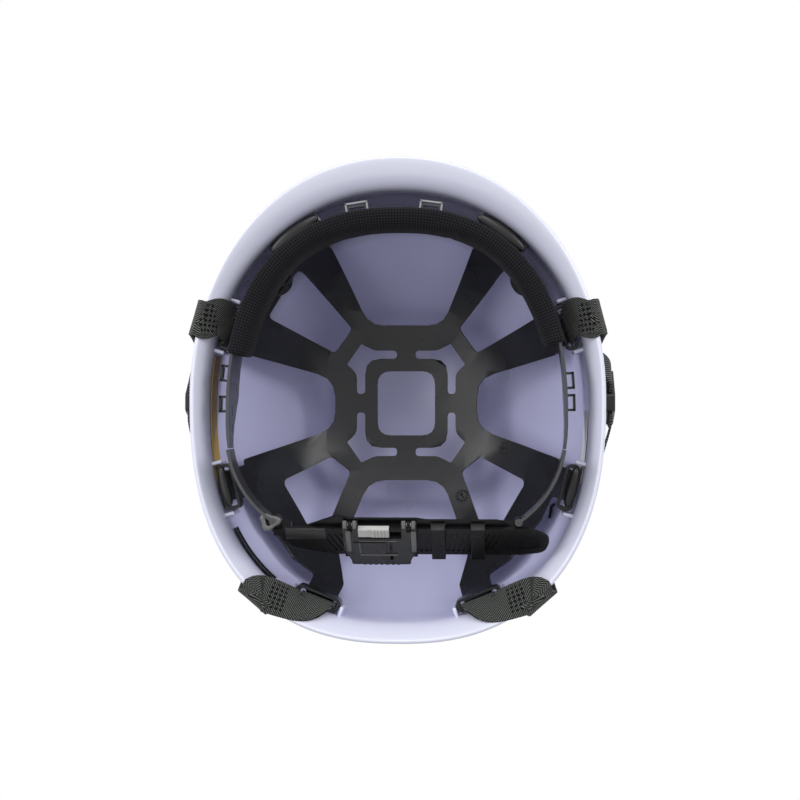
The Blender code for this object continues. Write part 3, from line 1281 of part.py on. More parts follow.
def make_buckle():
    """Side-release buckle: a hollow female half and a male half with two sprung prongs."""
    half = BUCKLE_WIDTH / 2
    thick = BUCKLE_THICKNESS
    outline = rounded([(-FEMALE_LENGTH, -half, 3 * MM), (-9 * MM, -half, 2 * MM),
                       (-7 * MM, -half + 1.6 * MM, 2 * MM), (0, -half + 1.6 * MM, 1.5 * MM),
                       (0, half - 1.6 * MM, 1.5 * MM), (-7 * MM, half - 1.6 * MM, 2 * MM),
                       (-9 * MM, half, 2 * MM), (-FEMALE_LENGTH, half, 3 * MM)], 3)
    female = plate("buckle_female", [outline], 0.0, thick)
    inner_half = half - 1.6 * MM - BUCKLE_WALL
    cavity = box("cavity", (-PRONG_LENGTH - 2 * MM, -inner_half, BUCKLE_WALL),
                 (2 * MM, inner_half, thick - BUCKLE_WALL), None, CUTTERS)
    windows = box("windows", (-PRONG_LENGTH - 1 * MM, -half - 2 * MM, BUCKLE_WALL),
                  (-9 * MM, half + 2 * MM, thick - BUCKLE_WALL), None, CUTTERS)
    bar_slot = box("bar_slot", (-FEMALE_LENGTH + 2.4 * MM, -WEB_WIDTH / 2 - 0.5 * MM, -MM),
                   (-FEMALE_LENGTH + 5.0 * MM, WEB_WIDTH / 2 + 0.5 * MM, thick + MM), None, CUTTERS)
    cut_all(female, [cavity, windows, bar_slot])
    female.matrix_world = buckle_matrix()
    paint_only(female, BLACK_PLASTIC)
    shade(female)

    level = BUCKLE_WALL + RUNNING_GAP
    depth = thick - 2 * level
    male_half = half - 1.6 * MM
    male_outline = rounded([(0.6 * MM, -male_half, 1.5 * MM), (MALE_LENGTH, -male_half, 3 * MM),
                            (MALE_LENGTH, male_half, 3 * MM), (0.6 * MM, male_half, 1.5 * MM)], 3)
    male = plate("buckle_male", [male_outline], 0.0, thick)
    pieces = []
    edge = inner_half - RUNNING_GAP
    for sign in (-1.0, 1.0):
        prong = [(2 * MM, edge - 0.6 * MM, 0), (-6 * MM, edge - 0.6 * MM, 1 * MM),
                 (-PRONG_LENGTH + 8 * MM, edge, 1 * MM), (-PRONG_LENGTH + 1.5 * MM, edge, 1 * MM),
                 (-PRONG_LENGTH, edge - 3 * MM, 1 * MM), (-PRONG_LENGTH + 3 * MM, edge - 4 * MM, 1 * MM),
                 (-6 * MM, edge - 3.2 * MM, 1 * MM), (2 * MM, edge - 3.2 * MM, 0)]
        outline = [(x, y * sign) for x, y in rounded(prong, 2)]
        pieces.append(plate("prong", [outline], level, depth))
    pieces.append(box("spine", (-PRONG_LENGTH + 5 * MM, -1.2 * MM, level),
                      (2 * MM, 1.2 * MM, level + depth)))
    join_all(male, pieces)
    bar_cut = box("bar_slot", (MALE_LENGTH - 5.4 * MM, -WEB_WIDTH / 2 - 0.5 * MM, -MM),
                  (MALE_LENGTH - 2.6 * MM, WEB_WIDTH / 2 + 0.5 * MM, thick + MM), None, CUTTERS)
    boolean(male, bar_cut, "DIFFERENCE")
    male.matrix_world = buckle_matrix()
    paint_only(male, BLACK_PLASTIC)
    shade(male)


def make_chin_adjuster():
    """Three-bar slide on the straight run above the right junction."""
    foot_x, foot_z = crown_route(WEB_CLEARANCE + WEB_THICKNESS / 2)[1]
    start = Vector((foot_x, JUNCTION_Y, foot_z))
    end = under_bar(-FEMALE_LENGTH, -1.0)[0]
    along = (end - start).normalized()
    outward = Vector((along.z, 0.0, -along.x))
    centre = start + (end - start) * 0.45
    half = WEB_WIDTH / 2 + GAP
    thick = WEB_THICKNESS / 2 + GAP
    face = thick + 1.2 * MM
    outer = rectangle(-half - ADJUSTER_WALL, -face, half + ADJUSTER_WALL, face, MM, 2)
    inner = rectangle(-half, -thick, half, thick)
    ring = plate("chin_adjuster", [outer, inner], -ADJUSTER_LENGTH / 2, ADJUSTER_LENGTH)
    window = box("window", (-half + 2 * MM, 0.0, -ADJUSTER_LENGTH / 2 + 3.2 * MM),
                 (half - 2 * MM, 4 * MM, -1.6 * MM), None, CUTTERS)
    other = box("window", (-half + 2 * MM, 0.0, 1.6 * MM),
                (half - 2 * MM, 4 * MM, ADJUSTER_LENGTH / 2 - 3.2 * MM), None, CUTTERS)
    cut_all(ring, [window, other])
    across = outward.cross(along)
    turn = Matrix((across, outward, along)).transposed().to_4x4()
    ring.matrix_world = Matrix.Translation(centre) @ turn
    paint_only(ring, BLACK_PLASTIC)
    shade(ring)


# ======================================================================================
# assembly
# ======================================================================================
clear_scene()
PARTS = new_collection("safety_helmet")
CUTTERS = new_collection("cutters")

SHELL_PAINT = material("shell_plastic", (0.64, 0.65, 0.76), 0.28)
BLACK_PLASTIC = material("black_plastic", (0.022, 0.023, 0.026), 0.42)
GREY_PLASTIC = material("grey_plastic", (0.060, 0.062, 0.066), 0.45)
LIGHT_GREY_PLASTIC = material("light_grey_plastic", (0.32, 0.33, 0.32), 0.5)
PAD_FABRIC = material("pad_fabric", (0.012, 0.012, 0.014), 0.9)
WEBBING = material("webbing", (0.035, 0.040, 0.038), 0.85)
STEEL = material("steel", (0.45, 0.45, 0.45), 0.35, 1.0)

make_shell()
make_hammock()
for station_name, station_angle, station_depth in hanger_stations():
    make_hanger("hanger_" + station_name, station_angle, station_depth)
make_headband()
make_sweatband()
for side_name in SIDES:
    make_tail(side_name)
make_nape_strap()
make_buckle_frame()
make_lock_cover()
make_cover_pins()
make_lock_button()
make_keepers()
for side_name, side_sign in SIDES.items():
    for leg_name in ("side_front", "rear"):
        leg_centres, leg_normals = leg_route(leg_name, side_sign)
        ribbon(f"strap_leg_{leg_name}_{side_name}", leg_centres, leg_normals, WEBBING)
    make_junction(side_name)
make_chin_webbing()
make_buckle()
make_chin_adjuster()
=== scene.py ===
# %% [markdown]
# # A safety helmet, seen into its head opening
# The fixed frame gives every piece its place. This lesson rebuilds the pieces whose look
# matters most, as fine meshes, and gives every other one a good material.

# %% Load the frame
import math

import bpy
from mathutils import Matrix, Vector
from mathutils.bvhtree import BVHTree


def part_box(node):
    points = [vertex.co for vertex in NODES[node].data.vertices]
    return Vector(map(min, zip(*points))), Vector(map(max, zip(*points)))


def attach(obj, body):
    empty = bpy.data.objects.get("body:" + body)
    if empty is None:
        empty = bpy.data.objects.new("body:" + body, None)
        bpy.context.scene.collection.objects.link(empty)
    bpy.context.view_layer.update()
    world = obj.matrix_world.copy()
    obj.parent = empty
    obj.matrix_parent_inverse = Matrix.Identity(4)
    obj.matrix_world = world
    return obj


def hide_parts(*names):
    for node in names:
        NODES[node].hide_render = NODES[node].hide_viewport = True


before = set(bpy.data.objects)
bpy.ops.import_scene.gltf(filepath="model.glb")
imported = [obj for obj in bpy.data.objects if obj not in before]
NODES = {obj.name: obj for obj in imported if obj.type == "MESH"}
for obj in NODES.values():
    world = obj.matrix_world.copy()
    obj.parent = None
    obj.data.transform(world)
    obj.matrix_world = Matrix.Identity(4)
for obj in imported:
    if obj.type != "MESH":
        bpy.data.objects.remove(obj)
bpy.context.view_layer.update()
MM = 0.001
Z_AXIS = Vector((0.0, 0.0, 1.0))

# %% [markdown]
# ## Camera
# The helmet lies with its opening towards the camera, so the camera looks up along +Z from
# below, a little from the side. A long lens keeps the dome from looking stretched.

# %% Camera
CAMERA_TURN = math.radians(3.2)
CAMERA_DISTANCE = 1.0
CAMERA_SIDE = 1.9 * MM
CAMERA_LENS = 82.4              # mm, on a sensor 36 mm wide
right = Vector((math.cos(CAMERA_TURN), 0.0, math.sin(CAMERA_TURN)))
forward = Vector((-math.sin(CAMERA_TURN), 0.0, math.cos(CAMERA_TURN)))
up = Vector((0.0, -1.0, 0.0))
camera_data = bpy.data.cameras.new("camera")
camera_data.sensor_width = 36.0
camera_data.lens = CAMERA_LENS
camera = bpy.data.objects.new("camera", camera_data)
bpy.context.scene.collection.objects.link(camera)
turn = Matrix((right, up, -forward)).transposed().to_4x4()
camera.matrix_world = Matrix.Translation(right * CAMERA_SIDE - forward * CAMERA_DISTANCE) @ turn
bpy.context.scene.camera = camera
print("camera at", [round(value, 3) for value in camera.location])

# %% [markdown]
# ## Small helpers
# An operator works on whatever is selected, so every step starts by selecting nothing and then
# exactly what it means to change.

# %% Helpers
MERGE_DISTANCE = 1e-6           # metres; vertices nearer than this are merged


def between(value, low, high):
    """0 at low, 1 at high, straight in between; low may be the larger one."""
    return min(1.0, max(0.0, (value - low) / (high - low)))


def moved(x, y, z=0.0):
    """A matrix that moves by millimetres."""
    return Matrix.Translation((x * MM, y * MM, z * MM))


def turned_to(x, y, z):
    """A matrix whose axes point along three unit vectors."""
    return Matrix((x, y, z)).transposed().to_4x4()


def named(name):
    """The object that an operator has just made, with its name."""
    bpy.context.object.name = name
    return bpy.context.object


def only(thing):
    """Select one object and nothing else."""
    if bpy.context.object and bpy.context.object.mode != "OBJECT":
        bpy.ops.object.mode_set(mode="OBJECT")
    bpy.ops.object.select_all(action="DESELECT")
    thing.select_set(True)
    bpy.context.view_layer.objects.active = thing


def settle(thing):
    """Put an object's place into its mesh and leave the object itself at the origin."""
    only(thing)
    bpy.ops.object.transform_apply(location=True, rotation=True, scale=True)


def apply_modifiers(thing):
    only(thing)
    for name in [modifier.name for modifier in thing.modifiers]:
        bpy.ops.object.modifier_apply(modifier=name)


def edit_whole(thing, *steps):
    """Take steps in edit mode, with the whole mesh selected."""
    only(thing)
    bpy.ops.object.mode_set(mode="EDIT")
    bpy.ops.mesh.select_all(action="SELECT")
    for step in steps:
        step()
    bpy.ops.object.mode_set(mode="OBJECT")


def merge_doubles():
    bpy.ops.mesh.remove_doubles(threshold=MERGE_DISTANCE)


def face_outwards():
    bpy.ops.mesh.normals_make_consistent(inside=False)


def pick(thing, wanted):
    """Go into edit mode with the vertices selected that the test wants."""
    only(thing)
    bpy.ops.object.mode_set(mode="EDIT")
    bpy.ops.mesh.select_all(action="DESELECT")
    bpy.ops.mesh.select_mode(type="VERT")
    bpy.ops.object.mode_set(mode="OBJECT")
    for vertex in thing.data.vertices:
        vertex.select = wanted(vertex)
    bpy.ops.object.mode_set(mode="EDIT")


def bevel(thing, width, segments=2, above=30):
    """Round the edges that are sharper than an angle in degrees; the width is in mm."""
    edge = thing.modifiers.new("edge", "BEVEL")
    edge.width = width * MM
    edge.segments = segments
    edge.angle_limit = math.radians(above)


def thicken(thing, thickness):
    """Give a sheet its thickness, half to each side."""
    wall = thing.modifiers.new("thickness", "SOLIDIFY")
    wall.thickness = thickness
    wall.offset = 0.0


def shade(thing, degrees):
    """Smooth shading that leaves edges sharp above an angle."""
    only(thing)
    bpy.ops.object.shade_smooth_by_angle(angle=math.radians(degrees))


def tidy_mesh(thing):
    """Merge doubles and turn every face outwards."""
    edit_whole(thing, merge_doubles, face_outwards)


def rounded_edges(thing, width):
    bevel(thing, width, above=40)
    apply_modifiers(thing)
    shade(thing, 40)
    return thing


def merge(name, things):
    """Join several objects into the first one."""
    only(things[0])
    for thing in things[1:]:
        thing.select_set(True)
    bpy.ops.object.join()
    things[0].name = name
    return things[0]


def boolean(thing, operation, other):
    """Join another mesh to a thing or cut it out, and drop the other."""
    change = thing.modifiers.new("boolean", "BOOLEAN")
    change.operation = operation
    change.object = other
    apply_modifiers(thing)
    bpy.data.objects.remove(other, do_unlink=True)


def bar(size, place):
    """A small block of a size in mm, at a matrix."""
    bpy.ops.mesh.primitive_cube_add(size=1.0)
    block = bpy.context.object
    block.data.transform(Matrix.Diagonal((size[0] * MM, size[1] * MM, size[2] * MM, 1.0)))
    block.matrix_world = place
    return block


def count(thing):
    return sum(len(face.vertices) - 2 for face in thing.data.polygons)


def give(thing, finish, body="helmet", replaces=()):
    """Paint a finished piece, hide the parts of the frame that it replaces and let it ride on its body.
    """
    thing.data.materials.clear()
    thing.data.materials.append(finish)
    settle(thing)
    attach(thing, body)
    if replaces:
        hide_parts(*replaces)
    print(thing.name, count(thing), "triangles")
    return thing


# %% [markdown]
# ## Material tools
# Each finish is a Principled shader with a few nodes in front of it. A short helper gives the
# inputs of a node their values, or other nodes' outputs, so that a finish reads like a recipe.

# %% Material tools
def new_finish(name, colour, roughness):
    made = bpy.data.materials.new(name)
    made.use_nodes = True
    shader = made.node_tree.nodes["Principled BSDF"]
    fill(shader, {"Base Color": (*colour, 1.0), "Roughness": roughness})
    return made, shader


def fill(made, values):
    """Give inputs of a node, by name or number, a value or another node's output."""
    for key, value in values.items():
        if isinstance(value, bpy.types.NodeSocket):
            made.id_data.links.new(value, made.inputs[key])
        else:
            made.inputs[key].default_value = value


def node(finish, kind, settings=None, **values):
    """Add a node with its settings and its inputs."""
    made = finish.node_tree.nodes.new(kind)
    for key, value in (settings or {}).items():
        setattr(made, key, value)
    fill(made, values)
    return made


def place_of(finish):
    return node(finish, "ShaderNodeTexCoord").outputs["Object"]


def attribute(finish, name):
    return node(finish, "ShaderNodeAttribute", {"attribute_name": name}).outputs["Fac"]


def noise(finish, vector, scale, detail=3.0, roughness=0.5):
    made = node(finish, "ShaderNodeTexNoise", Vector=vector, Scale=scale, Detail=detail,
                Roughness=roughness)
    return made.outputs["Fac"]


def spread(finish, value, low, high, start=0.0, end=1.0):
    """Map start..end onto low..high."""
    made = node(finish, "ShaderNodeMapRange", Value=value)
    fill(made, {"From Min": start, "From Max": end, "To Min": low, "To Max": high})
    return made.outputs["Result"]


def blend_colour(finish, value, first, second):
    """Mix two colours; the first may be another node's output."""
    if not isinstance(first, bpy.types.NodeSocket):
        first = (*first, 1.0)
    made = node(finish, "ShaderNodeMix", {"data_type": "RGBA"})
    fill(made, {0: value, 6: first, 7: (*second, 1.0)})
    return made.outputs[2]


def bump(finish, shader, height, distance, strength):
    made = node(finish, "ShaderNodeBump", Height=height, Distance=distance, Strength=strength)
    fill(shader, {"Normal": made.outputs["Normal"]})


def maths(finish, operation, first, second=0.0, third=0.0):
    made = node(finish, "ShaderNodeMath", {"operation": operation})
    fill(made, {0: first, 1: second, 2: third})
    return made.outputs[0]


def times(finish, first, second):
    return maths(finish, "MULTIPLY", first, second)


# %% [markdown]
# ## Finishes of the plastics
# The shell is glossy moulded plastic, pale with a breath of lavender. The mesh carries a "depth"
# attribute that mixes two tints: the deeper one inside the dome is painted bounce light, the
# colour that light takes as it bounces round the lavender dome. A second attribute paints shade on
# the wall behind the forehead pad, so that the gap there reads dark. The shell isn't a perfect
# mirror either: rubbed places are duller. The black fittings are satin, with a grain that is only
# just visible.

# %% Shell finish
def shell_finish():
    finish, shader = new_finish("shell_gloss", (0.64, 0.65, 0.82), 0.24)
    place = place_of(finish)
    cloud = noise(finish, place, 22.0, 4.0, 0.55)
    # the depth attribute deepens the tint inside the dome as painted bounce light; the cloud adds
    # random tone
    tint = maths(finish, "MULTIPLY_ADD", cloud, 0.12, attribute(finish, "depth"))
    colour = blend_colour(finish, tint, (0.66, 0.672, 0.79), (0.605, 0.605, 0.86))
    # painted shade: a dark navy on the wall behind the forehead pad, where the gap lies in shadow
    colour = blend_colour(finish, attribute(finish, "painted_gap_shade"), colour, (0.095, 0.093, 0.125))
    rub = noise(finish, place, 40.0, 3.0, 0.5)
    ripple = noise(finish, place, 90.0, 1.0, 0.3)
    bump(finish, shader, ripple, 0.04 * MM, 0.3)
    fill(shader, {"Base Color": colour, "Roughness": spread(finish, rub, 0.18, 0.30),
                  "Coat Weight": 0.12, "Coat Roughness": 0.12, "IOR": 1.52})
    return finish


def moulded_finish(name, dark, light, roughness, wear=0.05, specular=0.5):
    """Satin plastic between two tints; wear roughens it in patches."""
    finish, shader = new_finish(name, dark, roughness)
    place = place_of(finish)
    cloud = noise(finish, place, 45.0, 4.0, 0.6)
    speck = noise(finish, place, 900.0, 3.0, 0.6)
    worn = noise(finish, place, 90.0, 5.0, 0.65)
    bump(finish, shader, speck, 0.06 * MM, 3.0 * wear)
    fill(shader, {"Base Color": blend_colour(finish, cloud, dark, light),
                  "Roughness": spread(finish, worn, roughness - wear, roughness + wear),
                  "Specular IOR Level": specular, "IOR": 1.5})
    return finish


SHELL_GLOSS = shell_finish()
BLACK_SATIN = moulded_finish("black_satin", (0.006, 0.0064, 0.007), (0.010, 0.0104, 0.011), 0.30,
                             specular=0.35)
CHARCOAL = moulded_finish("charcoal_plastic", (0.004, 0.0042, 0.0048), (0.008, 0.0082, 0.009), 0.28,
                          specular=0.13)
HAMMOCK_GREY = moulded_finish("hammock_grey", (0.010, 0.0105, 0.0125), (0.014, 0.0145, 0.017), 0.28,
                              wear=0.02, specular=0.38)
COVER_GREY = moulded_finish("cover_grey", (0.018, 0.0185, 0.019), (0.026, 0.0265, 0.027), 0.28,
                            specular=0.22)
BAND_GREY = moulded_finish("band_grey", (0.030, 0.031, 0.034), (0.044, 0.045, 0.049), 0.30)
# a lighter grey: the hooked eye's own colour, and painted highlights on the lock cover's edges and
# hinge arms
HOOK_GREY_AND_EDGE_HIGHLIGHT = moulded_finish("hook_grey_and_edge_highlight", (0.075, 0.076, 0.074), (0.10, 0.101, 0.098), 0.32)
FRAME_GREY = moulded_finish("frame_grey", (0.20, 0.21, 0.21), (0.27, 0.28, 0.28), 0.5)
BUTTON_GREY = moulded_finish("button_grey", (0.38, 0.385, 0.37), (0.46, 0.465, 0.45), 0.42)


def steel_finish():
    finish, shader = new_finish("pin_steel", (0.55, 0.55, 0.54), 0.3)
    drawn = noise(finish, place_of(finish), 700.0, 2.0, 0.5)
    fill(shader, {"Metallic": 1.0, "Roughness": spread(finish, drawn, 0.22, 0.42)})
    return finish


PIN_STEEL = steel_finish()
print("plastics ready")

# %% [markdown]
# ## Webbing and pad cloth
# The webbing is a herringbone twill: fine diagonal ribs that turn back at the middle line. Its
# pattern follows the webbing, so it reads a UV map in metres: U along and V across. The pad's
# cloth is a knitted mesh with rows of small holes.

# %% Webbing finish
WEB_RIB = 1.6 * MM              # one rib of the twill, along the webbing
WEB_SLOPE = 1.1                 # how far a rib runs along for each step across
WEB_THREAD = 0.9 * MM           # one thread, across the webbing
EYELET_HALF = 1.35 * MM         # half the pitch of the open rows at a fold
EYELET_EDGE = 0.75 * MM, 1.0 * MM
PAD_PITCH = 3.3 * MM            # two rows of the pad's knit
WEAVE_SETTLE = 24.0 * MM        # length over which the weave lines up with the strap again
STRAIGHT_PAST_FOLD = 9.0 * MM


def weave_axes(finish):
    """The lengths along and across the weave, in metres."""
    uv = node(finish, "ShaderNodeUVMap", {"uv_map": "weave"}).outputs["UV"]
    split = node(finish, "ShaderNodeSeparateXYZ", Vector=uv)
    return split.outputs["X"], split.outputs["Y"]


def wave(finish, length, pitch):
    """A sine between 0 and 1 that repeats at every pitch."""
    turns = times(finish, length, math.tau / pitch)
    return maths(finish, "MULTIPLY_ADD", maths(finish, "SINE", turns), 0.5, 0.5)


def webbing_finish():
    finish, shader = new_finish("twill_webbing", (0.05, 0.055, 0.052), 0.78)
    along, across = weave_axes(finish)
    slant = times(finish, maths(finish, "ABSOLUTE", across), WEB_SLOPE)
    rib = maths(finish, "POWER", wave(finish, maths(finish, "ADD", along, slant), WEB_RIB), 1.8)
    thread = wave(finish, across, WEB_THREAD)
    weave = times(finish, rib, maths(finish, "MULTIPLY_ADD", thread, 0.4, 0.6))
    across_half = maths(finish, "PINGPONG", across, EYELET_HALF)
    along_half = maths(finish, "PINGPONG", along, EYELET_HALF)
    squares = [times(finish, half, half) for half in (across_half, along_half)]
    reach = maths(finish, "SQRT", maths(finish, "ADD", *squares))
    ring = spread(finish, reach, 1.0, 0.0, *EYELET_EDGE)
    eyelet = times(finish, ring, attribute(finish, "fold"))
    fibre = noise(finish, place_of(finish), 1500.0, 2.0, 0.6)
    level = times(finish, weave, maths(finish, "MULTIPLY_ADD", fibre, 0.5, 0.75))
    level = times(finish, level, maths(finish, "SUBTRACT", 1.0, eyelet))
    colour = blend_colour(finish, level, (0.0010, 0.0012, 0.0010), (0.16, 0.17, 0.16))
    fill(shader, {"Base Color": colour, "Sheen Weight": 0.06, "Sheen Roughness": 0.4,
                  "Specular IOR Level": 0.12})
    bump(finish, shader, level, 0.35 * MM, 0.8)
    return finish


def pad_finish():
    finish, shader = new_finish("mesh_pad", (0.012, 0.012, 0.014), 0.85)
    along, across = [times(finish, length, math.tau / PAD_PITCH)
                     for length in weave_axes(finish)]
    first = maths(finish, "SINE", maths(finish, "ADD", along, across))
    second = maths(finish, "SINE", maths(finish, "SUBTRACT", along, across))
    knit = times(finish, first, second)
    level = maths(finish, "MULTIPLY_ADD", knit, 0.5, 0.5)
    fibre = noise(finish, place_of(finish), 2200.0, 2.0, 0.6)
    mixed = times(finish, level, maths(finish, "MULTIPLY_ADD", fibre, 0.6, 0.7))
    colour = blend_colour(finish, mixed, (0.0002, 0.0002, 0.0003), (0.022, 0.0215, 0.026))
    fill(shader, {"Base Color": colour, "Sheen Weight": 0.04, "Sheen Roughness": 0.45,
                  "Specular IOR Level": 0.06})
    bump(finish, shader, level, 0.4 * MM, 0.7)
    return finish


TWILL = webbing_finish()
PAD_CLOTH = pad_finish()
print("cloths ready")

# %% [markdown]
# ## The shell
# The real shell is injection moulded: a thin dome whose lower edge flares into a short brim. A
# circle of points is bent to the helmet's plan, then extruded ring by ring, up the dome and down
# the brim. Solidify gives the wall, and the rim gets a round edge.

# %% Shell sizes
SHELL_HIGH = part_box("shell")[1]
RIM_HALF = Vector((SHELL_HIGH.x, SHELL_HIGH.y))
CROWN = SHELL_HIGH.z
WALL = 2.8 * MM
ROOT_HALF = Vector((RIM_HALF.x - 6.6 * MM, RIM_HALF.y - 12.1 * MM))
ROOT_Y = 3.7 * MM
ROOT_Z = 13.0 * MM
DOME_POWER = 2.3
FRONT_POWER, REAR_POWER = 2.1, 2.4
FLARE_POWER = 1.7
ROUND, DOME_RINGS, BRIM_RINGS = 160, 30, 8


def superellipse(angle, half_x, half_y, power, centre_y):
    cosine, sine = math.cos(angle), math.sin(angle)
    x = math.copysign(abs(cosine) ** (2 / power), cosine) * half_x
    y = math.copysign(abs(sine) ** (2 / power), sine) * half_y
    return Vector((x, y + centre_y, 0.0))


def plan(angle, half, centre_y):
    """A point of the helmet's plan, a superellipse that is squarer behind."""
    power = FRONT_POWER if math.sin(angle) < 0 else REAR_POWER
    return superellipse(angle, half.x, half.y, power, centre_y)


def dome_scale(z):
    return math.sqrt(max(0.0, 1.0 - ((z - ROOT_Z) / (CROWN - ROOT_Z)) ** DOME_POWER))


def ring_up(centre, scale, lift, shift=0.0):
    """Extrude the selected ring, then scale and move the new one."""
    bpy.ops.mesh.extrude_region_move(TRANSFORM_OT_translate={"value": (0.0, shift, lift)})
    bpy.ops.transform.resize(value=scale, center_override=centre)


# %% Extrude the dome and the brim
def make_shell():
    bpy.ops.mesh.primitive_circle_add(vertices=ROUND, radius=1.0, location=(0, 0, 0))
    shell = named("helmet_shell")
    for vertex in shell.data.vertices:
        vertex.co = plan(math.atan2(vertex.co.y, vertex.co.x), ROOT_HALF, ROOT_Y)
        vertex.co.z = ROOT_Z
    bpy.ops.object.mode_set(mode="EDIT")
    bpy.ops.mesh.select_all(action="SELECT")
    last_z, last_scale = ROOT_Z, 1.0
    for step in range(1, DOME_RINGS):
        z = ROOT_Z + (CROWN - ROOT_Z) * math.sin(math.pi / 2 * step / DOME_RINGS)
        scale = dome_scale(z)
        ratio = scale / last_scale
        ring_up((0, ROOT_Y, z), (ratio, ratio, 1.0), z - last_z)
        last_z, last_scale = z, scale
    ring_up((0, ROOT_Y, CROWN), (0.4, 0.4, 1.0), (CROWN - last_z) * 0.8)
    bpy.ops.mesh.extrude_region_move(TRANSFORM_OT_translate={"value": (0, 0, (CROWN - last_z) * 0.2)})
    bpy.ops.mesh.merge(type="CENTER")
    pick(shell, lambda vertex: abs(vertex.co.z - ROOT_Z) < 1e-5)
    last_half, last_y, last_z = ROOT_HALF.copy(), ROOT_Y, ROOT_Z
    for step in range(1, BRIM_RINGS + 1):
        fall = step / BRIM_RINGS
        flare = fall ** FLARE_POWER
        half = ROOT_HALF + (RIM_HALF - ROOT_HALF) * flare
        centre_y = ROOT_Y * (1.0 - flare)
        z = ROOT_Z * (1.0 - fall)
        ring_up((0, centre_y, z), (half.x / last_half.x, half.y / last_half.y, 1.0), z - last_z,
                centre_y - last_y)
        last_half, last_y, last_z = half, centre_y, z
    bpy.ops.object.mode_set(mode="OBJECT")
    tidy_mesh(shell)
    wall = shell.modifiers.new("wall", "SOLIDIFY")
    wall.thickness = WALL
    wall.offset = -1.0
    wall.use_even_offset = True
    bevel(shell, 1.1, 4, 50)
    apply_modifiers(shell)
    tidy_mesh(shell)
    return shell


helmet_shell = make_shell()
outward = max(helmet_shell.data.polygons, key=lambda face: face.center.x).normal.x
print("outermost face points", "outwards" if outward > 0 else "inwards")

# %% [markdown]
# ## Ribs inside the wall
# A pair of ribs stands at each hanger and holds it. Each rib is a small block with rounded
# edges, and all of them are joined to the shell with one Boolean.

# %% Places on the wall
HANGER_ANGLES = {"front": -56.3, "side_front": -21.5, "side_rear": 18.8, "rear": 67.7}
SIDES = {"left": -1.0, "right": 1.0}


def wall_matrix(angle, inset):
    """X along the wall, Y outward and Z up, on the wall where the dome begins."""
    half = ROOT_HALF - Vector((inset, inset))
    here = plan(angle, half, ROOT_Y)
    tangent = (plan(angle + 1e-4, half, ROOT_Y) - plan(angle - 1e-4, half, ROOT_Y)).normalized()
    outward = tangent.cross(Z_AXIS)
    along = outward.cross(Z_AXIS)
    return Matrix.Translation(here) @ turned_to(along, outward, Z_AXIS)


def stations():
    for side, sign in SIDES.items():
        for place, degrees in HANGER_ANGLES.items():
            yield f"{place}_{side}", math.radians(degrees if sign > 0 else 180.0 - degrees)


# %% Ribs
RIB_THICK, RIB_DEEP, RIB_APART = 2.2, 7.4, 29.4         # mm
RIB_TOP, RIB_LOW, RIB_LOW_FRONT = 31.5, 11.5, 21.0


def make_rib(matrix, x, low):
    rib = bar((RIB_THICK, RIB_DEEP, RIB_TOP - low), matrix @ moved(x, -2.6, (RIB_TOP + low) / 2))
    bevel(rib, 0.9, 3)
    apply_modifiers(rib)
    settle(rib)
    return rib


ribs = []
for station, angle in stations():
    low = RIB_LOW_FRONT if station.startswith("front") else RIB_LOW
    for side in (-1.0, 1.0):
        ribs.append(make_rib(wall_matrix(angle, WALL), side * RIB_APART / 2, low))
boolean(helmet_shell, "UNION", merge("rib_set", ribs))
shade(helmet_shell, 35)
# depth: where the deeper tint of painted bounce light goes, on the inner skin from the rim up to 30 mm
depth = helmet_shell.data.attributes.new("depth", "FLOAT", "POINT")
painted_gap_shade = helmet_shell.data.attributes.new("painted_gap_shade", "FLOAT", "POINT")
for index, vertex in enumerate(helmet_shell.data.vertices):
    inner = vertex.normal.dot(vertex.co - Vector((0.0, 0.0, ROOT_Z))) < 0.0
    height = vertex.co.z / MM
    from_front = abs(math.degrees(math.atan2(vertex.co.x, -vertex.co.y)))
    depth.data[index].value = between(height, 0.0, 30.0) if inner else 0.0
    # painted shade on the inner wall beside the forehead pad, towards the front
    beside_pad = between(height, 7.0, 16.0) * between(height, 88.0, 74.0)
    painted_gap_shade.data[index].value = beside_pad * between(from_front, 72.0, 52.0) if inner else 0.0
give(helmet_shell, SHELL_GLOSS, replaces=["shell"])

# %% [markdown]
# ## Hard fittings
# The moulded fittings have the right shape already. A copy of each gets its doubles merged and
# its flat triangles joined, and then a fine bevel, because a real moulding has no sharp edge and
# a rounded edge is what catches the light.

# %% Soften a fitting
def soften(name, finish, body="helmet", width=0.35, flat=1.0):
    """A fine copy of a fitting; faces that meet flatter than an angle in degrees are joined."""
    source = NODES[name]
    thing = source.copy()
    thing.data = source.data.copy()
    thing.parent = None
    for key in list(thing.keys()):
        del thing[key]
    thing.name = name + "_fine"
    bpy.context.scene.collection.objects.link(thing)
    thing.matrix_world = Matrix.Identity(4)
    edit_whole(thing, merge_doubles,
               lambda: bpy.ops.mesh.dissolve_limited(angle_limit=math.radians(flat)))
    if width:
        bevel(thing, width, above=35)
        apply_modifiers(thing)
    shade(thing, 38)
    weighted = thing.modifiers.new("even_shading", "WEIGHTED_NORMAL")
    weighted.keep_sharp = True
    weighted.weight = 80
    apply_modifiers(thing)
    FINE[name] = thing
    return give(thing, finish, body, [name])


